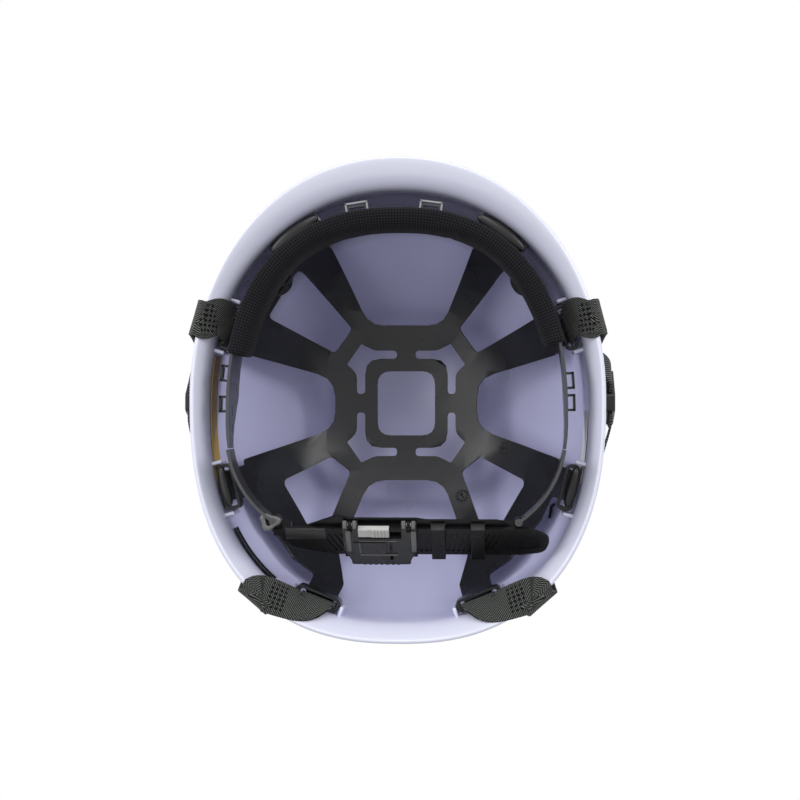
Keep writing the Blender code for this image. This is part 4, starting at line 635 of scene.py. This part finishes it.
FINE = {}
for station, angle in stations():
    soften("hanger_" + station, BLACK_SATIN, width=0.5)
soften("hammock", HAMMOCK_GREY, width=0.0, flat=0.2)
soften("headband", BAND_GREY, width=0.3)
for side in SIDES:
    soften("rear_band_" + side, BAND_GREY, body="tail_" + side)
soften("nape_strap", CHARCOAL, "strap", width=0.25)
soften("buckle_frame", CHARCOAL, body="buckle", width=0.3)
soften("lock_cover", COVER_GREY, "cover", width=0.6)
soften("lock_button", BUTTON_GREY, "button", width=0.2)
for number in "12":
    soften("strap_keeper_" + number, CHARCOAL, "buckle", width=0.3)
for side in SIDES:
    soften("cover_pin_" + side, PIN_STEEL, "buckle", width=0.2)
soften("buckle_female", BLACK_SATIN)
soften("buckle_male", BLACK_SATIN, body="chin_male")
for name in ("chin_adjuster", "strap_junction_left", "strap_junction_right"):
    soften(name, BLACK_SATIN)

# %% [markdown]
# ## Webbing
# Webbing is a flat strap. A grid is laid along a smooth route, each cross line turned to lie
# flat on what it passes over, and Solidify gives its thickness. The grid's own squares become the
# UV map in metres, so that the twill keeps its scale round every bend. Where a leg folds round
# the rim, its weave opens into rows of eyelets.

# %% Webbing helper
WEB_WIDTH = 20.0 * MM
WEB_THICKNESS = 1.3 * MM
WEB_COLUMNS = 14
EYELETS_LONG, EYELETS_WIDE = 6.2 * MM, 9.2 * MM     # to each side of the middle of a fold


def smooth_route(points, steps):
    """Even Catmull-Rom points through a route of vectors."""
    route = []
    last = len(points) - 1
    for index in range(last):
        p0, p1 = points[max(0, index - 1)], points[index]
        p2, p3 = points[index + 1], points[min(last, index + 2)]
        for step in range(steps):
            t = step / steps
            route.append(0.5 * ((2 * p1) + (p2 - p0) * t + (2 * p0 - 5 * p1 + 4 * p2 - p3) * t * t
                                + (3 * p1 - p0 - 3 * p2 + p3) * t ** 3))
    route.append(points[-1])
    return route


def lengths_along(points):
    """How far along a line each of its points lies."""
    lengths = [0.0]
    for first, second in zip(points, points[1:]):
        lengths.append(lengths[-1] + (second - first).length)
    return lengths


def even_route(centres, normals, step):
    """The same route with even steps, and a smooth way across at each of them."""
    lengths = lengths_along(centres)
    rows = max(2, round(lengths[-1] / step))
    route, facing = [], []
    index = 0
    for row in range(rows + 1):
        target = lengths[-1] * row / rows
        while index < len(centres) - 2 and lengths[index + 1] < target:
            index += 1
        share = (target - lengths[index]) / max(1e-9, lengths[index + 1] - lengths[index])
        route.append(centres[index].lerp(centres[index + 1], share))
        facing.append(normals[index].lerp(normals[index + 1], share))
    across = []
    for row in range(rows + 1):
        along = route[min(rows, row + 1)] - route[max(0, row - 1)]
        across.append(along.cross(facing[row]).normalized())
    for smoothing in range(6):
        across = [(across[max(0, row - 1)] + across[row] * 2 + across[min(rows, row + 1)]).normalized()
                  for row in range(rows + 1)]
    return route, across, lengths[-1]


def unrolled(route, sideways, step, straight_rows):
    """Where each row lies on flat webbing, so that the weave stays straight where the strap bends.

    After the first straight_rows it starts afresh, and then keeps lining up with the strap.
    """
    flat, turn, place = [], 0.0, Vector((0.0, 0.0))
    for row in range(len(route)):
        if row == straight_rows:
            turn = place.y = 0.0
        keep = 1.0 if row < straight_rows else 1.0 - step / WEAVE_SETTLE
        if 0 < row < len(route) - 1:
            before, after = route[row] - route[row - 1], route[row + 1] - route[row]
            turn = turn * keep + (after.normalized() - before.normalized()).dot(sideways[row])
        heading = Vector((math.cos(turn), math.sin(turn)))
        flat.append((place.copy(), Vector((-heading.y, heading.x))))
        place += heading * step
        place.y *= keep
    return flat


def drop_other_uvs(thing):
    for layer in [item for item in thing.data.uv_layers if item.name != "weave"]:
        thing.data.uv_layers.remove(layer)


def make_webbing(name, centres, normals, fold_at=None):
    """A strap along a route; at fold_at, a length along it, its weave opens into rows of eyelets."""
    route, sideways, length = even_route(centres, normals, 1.1 * MM)
    rows = len(route)
    bpy.ops.mesh.primitive_grid_add(x_subdivisions=rows - 1, y_subdivisions=WEB_COLUMNS, size=2.0)
    web = named(name)
    step = length / (rows - 1)
    flat = unrolled(route, sideways, step, round(((fold_at or 0.0) + STRAIGHT_PAST_FOLD) / step))
    weave = web.data.uv_layers.new(name="weave")
    grid = [(round((v.co.x + 1) / 2 * (rows - 1)), v.co.y / 2 * WEB_WIDTH) for v in web.data.vertices]
    for loop in web.data.loops:
        row, aside = grid[loop.vertex_index]
        place, across = flat[row]
        weave.data[loop.index].uv = place + across * aside
    fold = web.data.attributes.new("fold", "FLOAT", "POINT")
    for index, (vertex, (row, aside)) in enumerate(zip(web.data.vertices, grid)):
        vertex.co = route[row] + sideways[row] * aside
        if fold_at is not None:
            away = max(abs(row * step - fold_at) / EYELETS_LONG, abs(aside) / EYELETS_WIDE)
            fold.data[index].value = between(away, 1.0, 0.75)
    drop_other_uvs(web)
    thicken(web, WEB_THICKNESS)
    bevel(web, 0.35, above=60)
    apply_modifiers(web)
    shade(web, 50)
    return web


# %% Strap legs
WEB_CLEAR = 0.7 * MM + WEB_THICKNESS / 2
LEG_SLOT_INSET = WALL + 1.65 * MM + 1.5 * MM + 1.8 * MM
JUNCTION = Vector((117.5 * MM, 0.0, 38.0 * MM))
FOLD_BEFORE_RIM = {"side_front": 6.0 * MM, "rear": 15.0 * MM}
MOUTHS = {"side_front": (-10.0, -6.0, 215.0), "rear": (10.0, -5.0, -20.0)}
OUTSIDE = {"side_front": (-18.5, [(-17.5, 9.0), (-13.0, 18.0)]),
           "rear": (51.5, [(50.5, 8.0), (46.5, 15.5), (40.0, 19.5), (29.0, 21.5), (17.0, 25.0)])}


def shell_point(angle, height, inset):
    """A point of the shell's outer surface, moved inwards by an inset."""
    rise = max(0.0, height - WALL / 2) / (ROOT_Z - WALL / 2)
    flare = max(0.0, 1.0 - rise) ** FLARE_POWER
    half = ROOT_HALF + (RIM_HALF - ROOT_HALF) * flare - Vector((inset, inset))
    point = plan(angle, half, ROOT_Y * (1.0 - flare))
    return Vector((point.x, point.y, height))


def leg_route(place, sign):
    """The leg's line and the way it faces, from its hanger, round the rim, to the junction."""
    slot = math.radians(HANGER_ANGLES[place])
    cross = math.radians(OUTSIDE[place][0])
    points, normals = [], []

    def add(angle, inset, height, out, down):
        rim = 0.0 if height < 11.0 * MM else ROOT_Z
        point = shell_point(angle, rim, inset)
        points.append(Vector((point.x, point.y, height)))
        facing = wall_matrix(angle, 0.0).to_3x3() @ Vector((0.0, 1.0, 0.0))
        normals.append((facing * out - Z_AXIS * down).normalized())

    add(slot, LEG_SLOT_INSET, 21.0 * MM, -1.0, 0.0)
    add(slot, LEG_SLOT_INSET, 12.5 * MM, -1.0, 0.0)
    add(slot + (cross - slot) * 0.25, WALL + 7.0 * MM, 5.0 * MM, -0.8, 0.8)
    add(cross, WALL + 1.2 * MM, -WEB_CLEAR * 0.8, -0.35, 1.0)
    add(cross, WALL / 2, -WEB_CLEAR - 0.4 * MM, 0.0, 1.0)
    add(cross, -WEB_CLEAR * 0.8, -WEB_CLEAR * 0.7, 0.8, 0.8)
    for degrees, height in OUTSIDE[place][1]:
        add(math.radians(degrees), -WEB_CLEAR - 2.0 * MM, height * MM, 1.0, 0.0)
    y, z, degrees = MOUTHS[place]
    lean = math.radians(degrees)
    mouth = JUNCTION + Vector((0.0, y * MM, z * MM))
    for back in (7.0, 0.0, -4.0):
        points.append(mouth + Vector((0.0, math.cos(lean), math.sin(lean))) * (back * MM))
        normals.append(Vector((1.0, 0.0, 0.0)))
    if sign < 0:
        points, normals = [[Vector((-v.x, v.y, v.z)) for v in line] for line in (points, normals)]
    return smooth_route(points, 8), [n.normalized() for n in smooth_route(normals, 8)]


for side, sign in SIDES.items():
    for place in ("side_front", "rear"):
        route, facing = leg_route(place, sign)
        name = f"strap_leg_{place}_{side}"
        under_rim = min(range(len(route)), key=lambda index: route[index].z)
        fold_at = lengths_along(route)[under_rim] - FOLD_BEFORE_RIM[place]
        web = make_webbing(name + "_web", route, facing, fold_at)
        give(web, TWILL, replaces=[name])

# %% Chin strap over the crown
BUCKLE_Z = 122.0 * MM
BUCKLE_BASE, BUCKLE_GAP = 1.4 * MM, 0.3 * MM
FEMALE_LENGTH, MALE_LENGTH = 28.0 * MM, 16.0 * MM
LIFT_OFF = 22.0 * MM            # from the buckle to where the strap meets the dome
TOUCH_Z = 84.0 * MM             # where it leaves the dome on the left
JUNCTION_TOP = JUNCTION + Z_AXIS * (13.0 * MM)
BELOW_TOP = Z_AXIS * (5.0 * MM)


def section_x(z, clearance):
    """Half width of the dome at the chin strap's plane, grown by a clearance."""
    share = (z - ROOT_Z) / (CROWN + clearance - ROOT_Z)
    return (ROOT_HALF.x + clearance) * math.sqrt(max(0.0, 1.0 - share ** DOME_POWER))


def buckle_place():
    step = 0.5 * MM
    slope = (section_x(BUCKLE_Z + step, 0.0) - section_x(BUCKLE_Z - step, 0.0)) / (2 * step)
    along = Vector((slope, 0.0, 1.0)).normalized()
    outward = Vector((along.z, 0.0, -along.x))
    lift = BUCKLE_BASE + WEB_THICKNESS + BUCKLE_GAP
    place = Vector((section_x(BUCKLE_Z, 0.0), 0.0, BUCKLE_Z)) + outward * lift
    return Matrix.Translation(place) @ turned_to(along, outward.cross(along), outward)


def under_bar(end, away):
    level = -BUCKLE_GAP - WEB_THICKNESS / 2
    return [buckle_place() @ Vector((end + away * past * MM, 0.0, level)) for past in (2, -7)]


def crown_line():
    """The strap's line from where it meets the dome, over the crown, to the left junction."""
    lift_off = (buckle_place() @ Vector((MALE_LENGTH + LIFT_OFF, 0.0, 0.0))).x
    rise = CROWN + WEB_CLEAR - ROOT_Z
    touch = math.asin((TOUCH_Z - ROOT_Z) / rise)
    points = []
    for step in range(61):
        z = ROOT_Z + rise * math.sin(touch + (math.pi / 2 - touch) * step / 60)
        points.append(Vector((section_x(z, WEB_CLEAR), 0.0, z)))
    points += [Vector((-p.x, 0.0, p.z)) for p in reversed(points[:-1])]
    points = [point for point in points if point.x < lift_off]
    last, top = points[-1], Vector((-JUNCTION_TOP.x, 0.0, JUNCTION_TOP.z))
    return points + [last.lerp(top, share) for share in (0.33, 0.67, 1.0)] + [top - BELOW_TOP]


def strap_facing(points):
    facing = []
    for index in range(len(points)):
        along = points[min(len(points) - 1, index + 1)] - points[max(0, index - 1)]
        facing.append(along.cross(Vector((0, 1, 0))).normalized())
    return facing


right_line = [JUNCTION_TOP - BELOW_TOP, JUNCTION_TOP] + under_bar(-FEMALE_LENGTH, -1.0)
right_line[1:3] = [right_line[1].lerp(right_line[2], share / 8) for share in range(9)]
left_line = under_bar(MALE_LENGTH, 1.0)[::-1] + crown_line()
for name, line in (("chin_strap_right", right_line), ("chin_strap_left", left_line)):
    web = make_webbing(name + "_web", line, strap_facing(line))
    give(web, TWILL, replaces=[name])

# %% [markdown]
# ## The padded sweatband
# A soft pad folded over the headband's lower edge. Its section is a J: a fat inner side against
# the forehead, a round bottom, and a short lip outside. It is swept along the headband's plan and
# then blown up a little as cloth, so that it swells between the places where it is held.

# %% Headband plan
BAND_HALF_X, BAND_FRONT, BAND_CENTRE = 92.5 * MM, 112.5 * MM, 10.0 * MM
BAND_POWER = 2.4


def band_point(angle):
    """A point of the front of the headband's middle line, and the way out from it."""
    def at(a):
        return superellipse(a, BAND_HALF_X, BAND_FRONT, BAND_POWER, BAND_CENTRE)
    along = (at(angle + 1e-4) - at(angle - 1e-4)).normalized()
    return at(angle), along.cross(Z_AXIS)


# %% Sweatband
PAD_SECTION = [(-1.1, -5.3), (-1.1, 3.0), (-1.1, 12.0), (-1.1, 21.0), (-1.1, 31.0), (-2.8, 31.4),
               (-5.6, 29.8), (-7.4, 25.5), (-8.3, 19.0), (-8.4, 12.0), (-8.2, 5.0), (-7.8, -1.0),
               (-6.8, -4.6), (-4.6, -7.0), (-1.6, -7.9), (1.0, -7.5), (2.2, -5.8), (2.6, -3.2),
               (1.9, -2.9), (1.1, -3.2), (1.1, -5.3), (0.0, -5.5)]
PAD_SWELL = 1.7 * MM            # the furthest that the pressure may push the cloth
SWELL_FRAMES = 20
PAD_ENDS = math.radians(-17.0), math.radians(-166.0)
PAD_ROWS = 110


def swell(pad, held):
    """Blow the pad up as cloth, with its held points fixed, and keep the shape it takes."""
    group = pad.vertex_groups.new(name="held")
    group.add(held, 1.0, "REPLACE")
    cloth = pad.modifiers.new("cloth", "CLOTH")
    cloth.settings.effector_weights.gravity = 0.0
    for key, value in (("quality", 6), ("mass", 0.2), ("use_pressure", True),
                       ("uniform_pressure_force", 4.0), ("tension_stiffness", 8.0),
                       ("compression_stiffness", 8.0), ("bending_stiffness", 0.05),
                       ("vertex_group_mass", "held")):
        setattr(cloth.settings, key, value)
    for time in range(1, SWELL_FRAMES + 1):
        bpy.context.scene.frame_set(time)
    shape = pad.evaluated_get(bpy.context.evaluated_depsgraph_get()).data
    moves = [after.co - before.co for before, after in zip(pad.data.vertices, shape.vertices)]
    pad.modifiers.remove(cloth)
    bpy.context.scene.frame_set(1)
    for vertex, move in zip(pad.data.vertices, moves):
        vertex.co += move * min(1.0, PAD_SWELL / max(move.length, 1e-9))
    pad.vertex_groups.remove(group)
    print("the cloth moved up to", round(max(move.length for move in moves) / MM, 2), "mm")


def make_sweatband():
    (first, last), rows, columns = PAD_ENDS, PAD_ROWS, len(PAD_SECTION)
    bpy.ops.mesh.primitive_grid_add(x_subdivisions=rows - 1, y_subdivisions=columns, size=2.0)
    pad = named("sweatband_pad")
    weave = pad.data.uv_layers.new(name="weave")
    grid = [(round((v.co.x + 1) / 2 * (rows - 1)), round((v.co.y + 1) / 2 * columns))
            for v in pad.data.vertices]
    centres = [band_point(first + (last - first) * row / (rows - 1)) for row in range(rows)]
    along = lengths_along([centre for centre, _ in centres])
    round_it = lengths_along([Vector(corner) * MM for corner in PAD_SECTION + PAD_SECTION[:1]])
    for loop in pad.data.loops:
        row, column = grid[loop.vertex_index]
        weave.data[loop.index].uv = (along[row], round_it[column])
    drop_other_uvs(pad)
    for vertex, (row, column) in zip(pad.data.vertices, grid):
        centre, outward = centres[row]
        x, z = PAD_SECTION[column % columns]
        vertex.co = centre + outward * (x * MM) + Z_AXIS * (z * MM)
    edit_whole(pad, merge_doubles, lambda: bpy.ops.mesh.select_all(action="DESELECT"),
               bpy.ops.mesh.select_non_manifold, lambda: bpy.ops.mesh.fill_holes(sides=0))
    edit_whole(pad, face_outwards)
    held = []       # what lies against the headband, without the loose underside of the lip
    for index, vertex in enumerate(pad.data.vertices):
        nearest = min(range(rows), key=lambda row: (centres[row][0].xy - vertex.co.xy).length)
        centre, outward = centres[nearest]
        depth = (vertex.co - centre).dot(outward) / MM
        if depth > -1.4 and not (depth < 2.3 and vertex.co.z < -5.5 * MM):
            held.append(index)
    swell(pad, held)
    soft = pad.modifiers.new("soft", "SUBSURF")
    soft.levels = soft.render_levels = 1
    apply_modifiers(pad)
    only(pad)
    bpy.ops.object.shade_smooth()
    return pad


sweatband_pad = make_sweatband()
give(sweatband_pad, PAD_CLOTH, replaces=["sweatband"])

# %% [markdown]
# ## Small moulded marks
# A line is cast upwards from below at a place in the plan, and where it meets a surface a small
# mark is seated there: the round marks that ejector pins leave, the dials that moulders set, pips
# and bosses.

# %% Marks
def hit_from_below(thing, x, y):
    """Where an upward line at (x, y) mm first meets a piece, as a matrix with Z out of it."""
    tree = BVHTree.FromPolygons([vertex.co for vertex in thing.data.vertices],
                                [face.vertices for face in thing.data.polygons])
    place, normal = tree.ray_cast(Vector((x * MM, y * MM, -0.05)), Z_AXIS)[:2]
    if normal.z > 0:
        normal = -normal
    return Matrix.Translation(place) @ normal.to_track_quat("Z", "Y").to_matrix().to_4x4()


def ring_mark(name, place, radius, wire):
    bpy.ops.mesh.primitive_torus_add(major_radius=radius * MM, minor_radius=wire * MM,
                                     major_segments=40, minor_segments=8)
    ring = named(name)
    ring.matrix_world = place
    return ring


def disc(radius, height, place, sides=24):
    bpy.ops.mesh.primitive_cylinder_add(radius=radius * MM, depth=height * MM, vertices=sides)
    made = bpy.context.object
    made.matrix_world = place
    return made


for name, x, y in (("left", -58.6, -15.9), ("right", 59.6, -15.9), ("rear", 0.4, 64.1)):
    ring = ring_mark("ejector_mark_" + name, hit_from_below(helmet_shell, x, y), 4.1, 0.28)
    give(ring, SHELL_GLOSS)

# the dials are charcoal, darker than the hammock leg: raised marks, with painted shade in their
# embossing
dials = []
for x, y in ((59.4, 28.8), (33.9, 57.0)):
    seat = hit_from_below(FINE["hammock"], x, y)
    for step in range(12):
        turned = seat @ Matrix.Rotation(step * math.tau / 12, 4, "Z")
        dials.append(bar((0.8, 1.7, 0.8), turned @ moved(0.0, 3.3)))
    dials.append(bar((0.8, 3.4, 0.8), seat))
    dials.append(bar((1.8, 0.7, 0.8), seat @ moved(0.0, 1.0)))
give(merge("moulding_dials", dials), CHARCOAL)

seat = hit_from_below(FINE["hammock"], -61.5, 82.0)
give(merge("leg_boss", [ring_mark("boss", seat, 3.2, 0.35), disc(0.9, 0.8, seat)]), CHARCOAL)

pips = []
for x, y in ((41.9, -75.0), (-38.7, -70.6), (-69.4, -36.9), (76.1, -36.4), (-74.0, 40.0), (78.0, 39.0)):
    pips.append(disc(0.8, 0.5, hit_from_below(FINE["hammock"], x, y), 16))
give(merge("leg_pips", pips), COVER_GREY)

# %% Details of the nape adjuster
def seated(name, size, x, y):
    """A block with rounded edges, seated where a line from below meets the named fitting."""
    seat = hit_from_below(FINE[name], x, y)
    return rounded_edges(bar(size, seat), min(size) * 0.3)


seated("nape_strap", (22.0, 8.4, 1.2), -49.0, 72.5)
give(named("strap_plate"), COVER_GREY, "strap")

# two raised rails along the cover, a cap on each hinge arm, and a fine frame round its panel;
# their lighter grey is painted highlight on the cover's edges and hinge arms
rails = [seated("lock_cover", (2.8, 17.0, 1.6), x, 76.5) for x in (-25.6, 9.8)]
rails += [seated("lock_cover", (2.0, 4.4, 1.4), x, 67.0) for x in (-27.0, -21.7, 4.7, 10.0)]
rails += [seated("lock_cover", (20.5, 0.7, 0.8), -9.5, y) for y in (76.4, 84.6)]
rails.append(seated("lock_cover", (0.7, 8.4, 0.8), -19.6, 80.5))
give(merge("cover_rails", rails), HOOK_GREY_AND_EDGE_HIGHLIGHT, "cover")
for number in "12":
    keeper = "strap_keeper_" + number
    corners = [vertex.co for vertex in FINE[keeper].data.vertices]
    x = (min(c.x for c in corners) + max(c.x for c in corners)) / 2 / MM
    seated(keeper, (7.6, 4.6, 1.2), x, min(c.y for c in corners) / MM + 3.4)
    give(named("keeper_cap_" + number), COVER_GREY, "buckle")

# the hooked eye at the strap's left end
corner = min((vertex.co for vertex in FINE["nape_strap"].data.vertices), key=lambda co: co.x)
eye = ring_mark("strap_eye", Matrix.Translation(corner + Vector((2.4 * MM, 0.0, -1.5 * MM))), 3.5, 1.6)
for vertex in eye.data.vertices:
    spoke = Vector((vertex.co.x, vertex.co.y))
    lobe = 1.0 + 0.2 * math.cos(3.0 * math.atan2(spoke.y, spoke.x) + 0.6)
    vertex.co.x, vertex.co.y = 1.1 * lobe * spoke.x, 0.9 * lobe * spoke.y
bpy.ops.object.shade_smooth()
give(eye, HOOK_GREY_AND_EDGE_HIGHLIGHT, "strap")

# %% [markdown]
# ## Ears and loops of the headband
# Above the sweatband the headband has two rounded ears with a pair of slots each. Small frames
# face its moulded loops, light ones at the front and black ones at the sides.

# %% Ears
EAR_LENGTH, EAR_HEIGHT, EAR_THICK = 20.0, 17.0, 1.4


def band_place(degrees, out, z):
    """A place on the headband: X along it, Y out of it and Z up."""
    point, outward = band_point(math.radians(degrees))
    turned = turned_to(outward.cross(Z_AXIS), outward, Z_AXIS)
    return Matrix.Translation(point + outward * (out * MM) + Z_AXIS * (z * MM)) @ turned


def make_ear(name, degrees):
    """Half of a flattened disc, with two slots cut through it."""
    bpy.ops.mesh.primitive_cylinder_add(radius=1.0, depth=EAR_THICK * MM, vertices=48)
    ear = named(name)
    ear.data.transform(Matrix.Diagonal((EAR_LENGTH / 2 * MM, EAR_HEIGHT * MM, 1.0, 1.0)))
    edit_whole(ear, lambda: bpy.ops.mesh.bisect(plane_co=(0, 0, 0), plane_no=(0, -1, 0),
                                                clear_outer=True, use_fill=True))
    for x in (-3.6, 3.6):
        boolean(ear, "DIFFERENCE", bar((5.2, 1.7, 6.0), moved(x, 10.5)))
    rounded_edges(ear, 0.3)
    lean = Matrix.Rotation(math.radians(90 + 34), 4, "X")
    ear.matrix_world = band_place(degrees, -1.2, 30.0) @ lean
    return ear


for side, degrees in (("left", -138.5), ("right", -41.0)):
    give(make_ear("band_ear_" + side, degrees), COVER_GREY)


def loop_frame(degrees, out, width, depth, sizes):
    """Three bars round the face of a loop: one across and one at each end of it."""
    place = band_place(degrees, out, -3.3)
    across, ends = sizes
    return [bar(across, place @ moved(0.0, depth))] + [
        bar(ends, place @ moved(x, 0.0)) for x in (-width, width)]


frames = []
for degrees in (-99.7, -81.7):
    frames += loop_frame(degrees, 3.4, 5.8, 3.0, ((12.6, 0.9, 1.0), (0.9, 6.4, 1.0)))
frames += [bar((0.9, 3.0, 0.9), band_place(degrees, 2.0, 26.0)) for degrees in (-113.3, -68.2)]
give(merge("loop_frames", frames), FRAME_GREY)
frames = []
for degrees in (-7.4, -2.6, 182.3, 189.2):
    frames += loop_frame(degrees, 2.0, 4.0, 2.2, ((9.2, 1.3, 1.2), (1.3, 5.0, 1.2)))
give(merge("side_loop_frames", frames), BLACK_SATIN)

# %% [markdown]
# ## Caps of the hangers
# A rounded cap stands on the front hangers and on the rear side ones, and a small hook on the wall.

# %% Hanger caps
CAP_HALF = {"front": (16.2, 4.4, 2.4), "side_rear": (11.5, 3.6, 2.4)}
for station, angle in stations():
    place = station.rsplit("_", 1)[0]
    if place in CAP_HALF:
        bpy.ops.mesh.primitive_uv_sphere_add(segments=40, ring_count=20, radius=1.0)
        cap = named("hanger_cap_" + station)
        cap.data.transform(Matrix.Diagonal((*[half * MM for half in CAP_HALF[place]], 1.0)))
        cap.matrix_world = wall_matrix(angle, WALL + 4.8 * MM) @ moved(0.0, 0.0, 10.2)
        bpy.ops.object.shade_smooth()
        give(cap, BLACK_SATIN)

seat = hit_from_below(helmet_shell, 86.0, 65.0) @ Matrix.Rotation(math.radians(35), 4, "Z")
hook = [bar((8.5, 1.5, 2.0), seat), bar((1.5, 4.0, 2.0), seat @ moved(3.5, -1.6))]
give(merge("wall_hook", hook), BLACK_SATIN)

# %% [markdown]
# ## Labels on the wall
# Thin patches follow the inner wall: a grid is bent onto it and Solidify gives it a thickness. The
# yellow and the white one are blank labels; the dark one at the rear carries two rails.

# %% Wall patches
def label_finish(name, colour, edge_colour):
    finish, shader = new_finish(name, colour, 0.5)
    cloud = noise(finish, place_of(finish), 260.0, 4.0, 0.6)
    fill(shader, {"Base Color": blend_colour(finish, cloud, colour, edge_colour)})
    return finish


def wall_patch(name, first, last, low, high, lift, thickness, finish):
    bpy.ops.mesh.primitive_grid_add(x_subdivisions=24, y_subdivisions=6, size=2.0)
    patch = named(name)
    for vertex in patch.data.vertices:
        across, up_share = (vertex.co.x + 1) / 2, (vertex.co.y + 1) / 2
        angle = math.radians(first + (last - first) * across)
        z = (low + (high - low) * up_share) * MM
        half = ROOT_HALF - Vector((WALL + lift * MM, WALL + lift * MM))
        point = plan(angle, half, ROOT_Y)
        scale = dome_scale(z)
        vertex.co = (point.x * scale, ROOT_Y + (point.y - ROOT_Y) * scale, z)
    thicken(patch, thickness * MM)
    apply_modifiers(patch)
    tidy_mesh(patch)
    shade(patch, 40)
    give(patch, finish)


YELLOW_LABEL = label_finish("yellow_label", (0.55, 0.36, 0.06), (0.35, 0.22, 0.04))
WHITE_LABEL = label_finish("white_label", (0.80, 0.80, 0.82), (0.70, 0.70, 0.74))
wall_patch("yellow_strip", 163.0, 193.0, 15.0, 33.0, 0.6, 0.3, YELLOW_LABEL)
wall_patch("white_label", 0.5, 17.0, 15.0, 36.0, 0.6, 0.3, WHITE_LABEL)
wall_patch("rear_strip", 149.0, 128.0, 16.0, 28.0, 0.8, 0.5, CHARCOAL)
for name, low in (("rear_rail_low", 17.0), ("rear_rail_high", 24.4)):
    wall_patch(name, 149.0, 128.0, low, low + 1.6, 1.2, 0.6, COVER_GREY)

# %% [markdown]
# ## Floor, light and world
# A plain pale floor lies under the rim and fades out into the white around it. The camera looks
# up from below it, so the floor shows only to a camera above it, with the shadow that falls
# there. Every other ray goes through, so that the lamps below reach the inside.

# %% Floor
FLOOR_Z = -20.5 * MM
FLOOR_COLOUR = (0.86, 0.86, 0.87)
FADE_FROM, FADE_TO = 0.18, 0.62     # radii in metres


def floor_finish():
    finish, shader = new_finish("studio_floor", FLOOR_COLOUR, 0.8)
    back = node(finish, "ShaderNodeNewGeometry").outputs["Backfacing"]
    path = node(finish, "ShaderNodeLightPath")
    unseen = maths(finish, "SUBTRACT", 1.0, path.outputs["Is Camera Ray"])
    away = node(finish, "ShaderNodeVectorMath", {"operation": "LENGTH"}, Vector=place_of(finish))
    fade = node(finish, "ShaderNodeMapRange", {"interpolation_type": "SMOOTHSTEP"},
                Value=away.outputs["Value"])
    fill(fade, {"From Min": FADE_FROM, "From Max": FADE_TO})
    through = maths(finish, "MAXIMUM", maths(finish, "MAXIMUM", back, unseen), fade.outputs["Result"])
    mix = node(finish, "ShaderNodeMixShader")
    clear = node(finish, "ShaderNodeBsdfTransparent")
    fill(mix, {0: through, 1: shader.outputs["BSDF"], 2: clear.outputs["BSDF"]})
    fill(finish.node_tree.nodes["Material Output"], {"Surface": mix.outputs["Shader"]})
    return finish


bpy.ops.mesh.primitive_plane_add(size=6.0, location=(0, 0, FLOOR_Z))
floor = named("studio_floor")
floor.data.materials.append(floor_finish())


# %% Lamps
def lamp(name, place, aim, size, power):
    data = bpy.data.lights.new(name, "AREA")
    data.shape = "DISK"
    data.size = size
    data.energy = power
    thing = bpy.data.objects.new(name, data)
    bpy.context.scene.collection.objects.link(thing)
    thing.location = place
    thing.rotation_euler = (Vector(aim) - Vector(place)).to_track_quat("-Z", "Y").to_euler()


INSIDE = (0.0, 0.0, 0.05)
lamp("front_key", (0.0, -0.90, -0.88), INSIDE, 0.7, 4.6)
lamp("left_key", (-0.92, -0.47, -0.68), INSIDE, 0.6, 5.6)
lamp("right_key", (0.92, -0.47, -0.68), INSIDE, 0.6, 6.2)
lamp("opening_fill", (-0.75, 0.10, -1.05), INSIDE, 0.9, 2.6)
lamp("overhead", (0.3, -0.4, 1.5), INSIDE, 1.2, 9.0)
lamp("side_fill", (-1.2, -0.6, 0.7), (0.0, 0.0, 0.08), 0.9, 4.0)

# %% World
AMBIENT = 0.55          # the world's strength for every ray but the seen and the mirrored ones
world = bpy.data.worlds.new("studio")
bpy.context.scene.world = world
world.use_nodes = True
path = node(world, "ShaderNodeLightPath")
seen = maths(world, "MAXIMUM", path.outputs["Is Camera Ray"], path.outputs["Is Transmission Ray"])
seen = maths(world, "MAXIMUM", seen, path.outputs["Is Glossy Ray"])
level = spread(world, seen, AMBIENT, 1.0)
fill(world.node_tree.nodes["Background"], {"Color": (1.0, 1.0, 1.0, 1.0), "Strength": level})
bpy.context.scene.view_settings.view_transform = "Standard"
print("light ready")

# %% [markdown]
# ## The last update
# The view layer is brought up to date once more.

# %% Finish
bpy.context.view_layer.update()
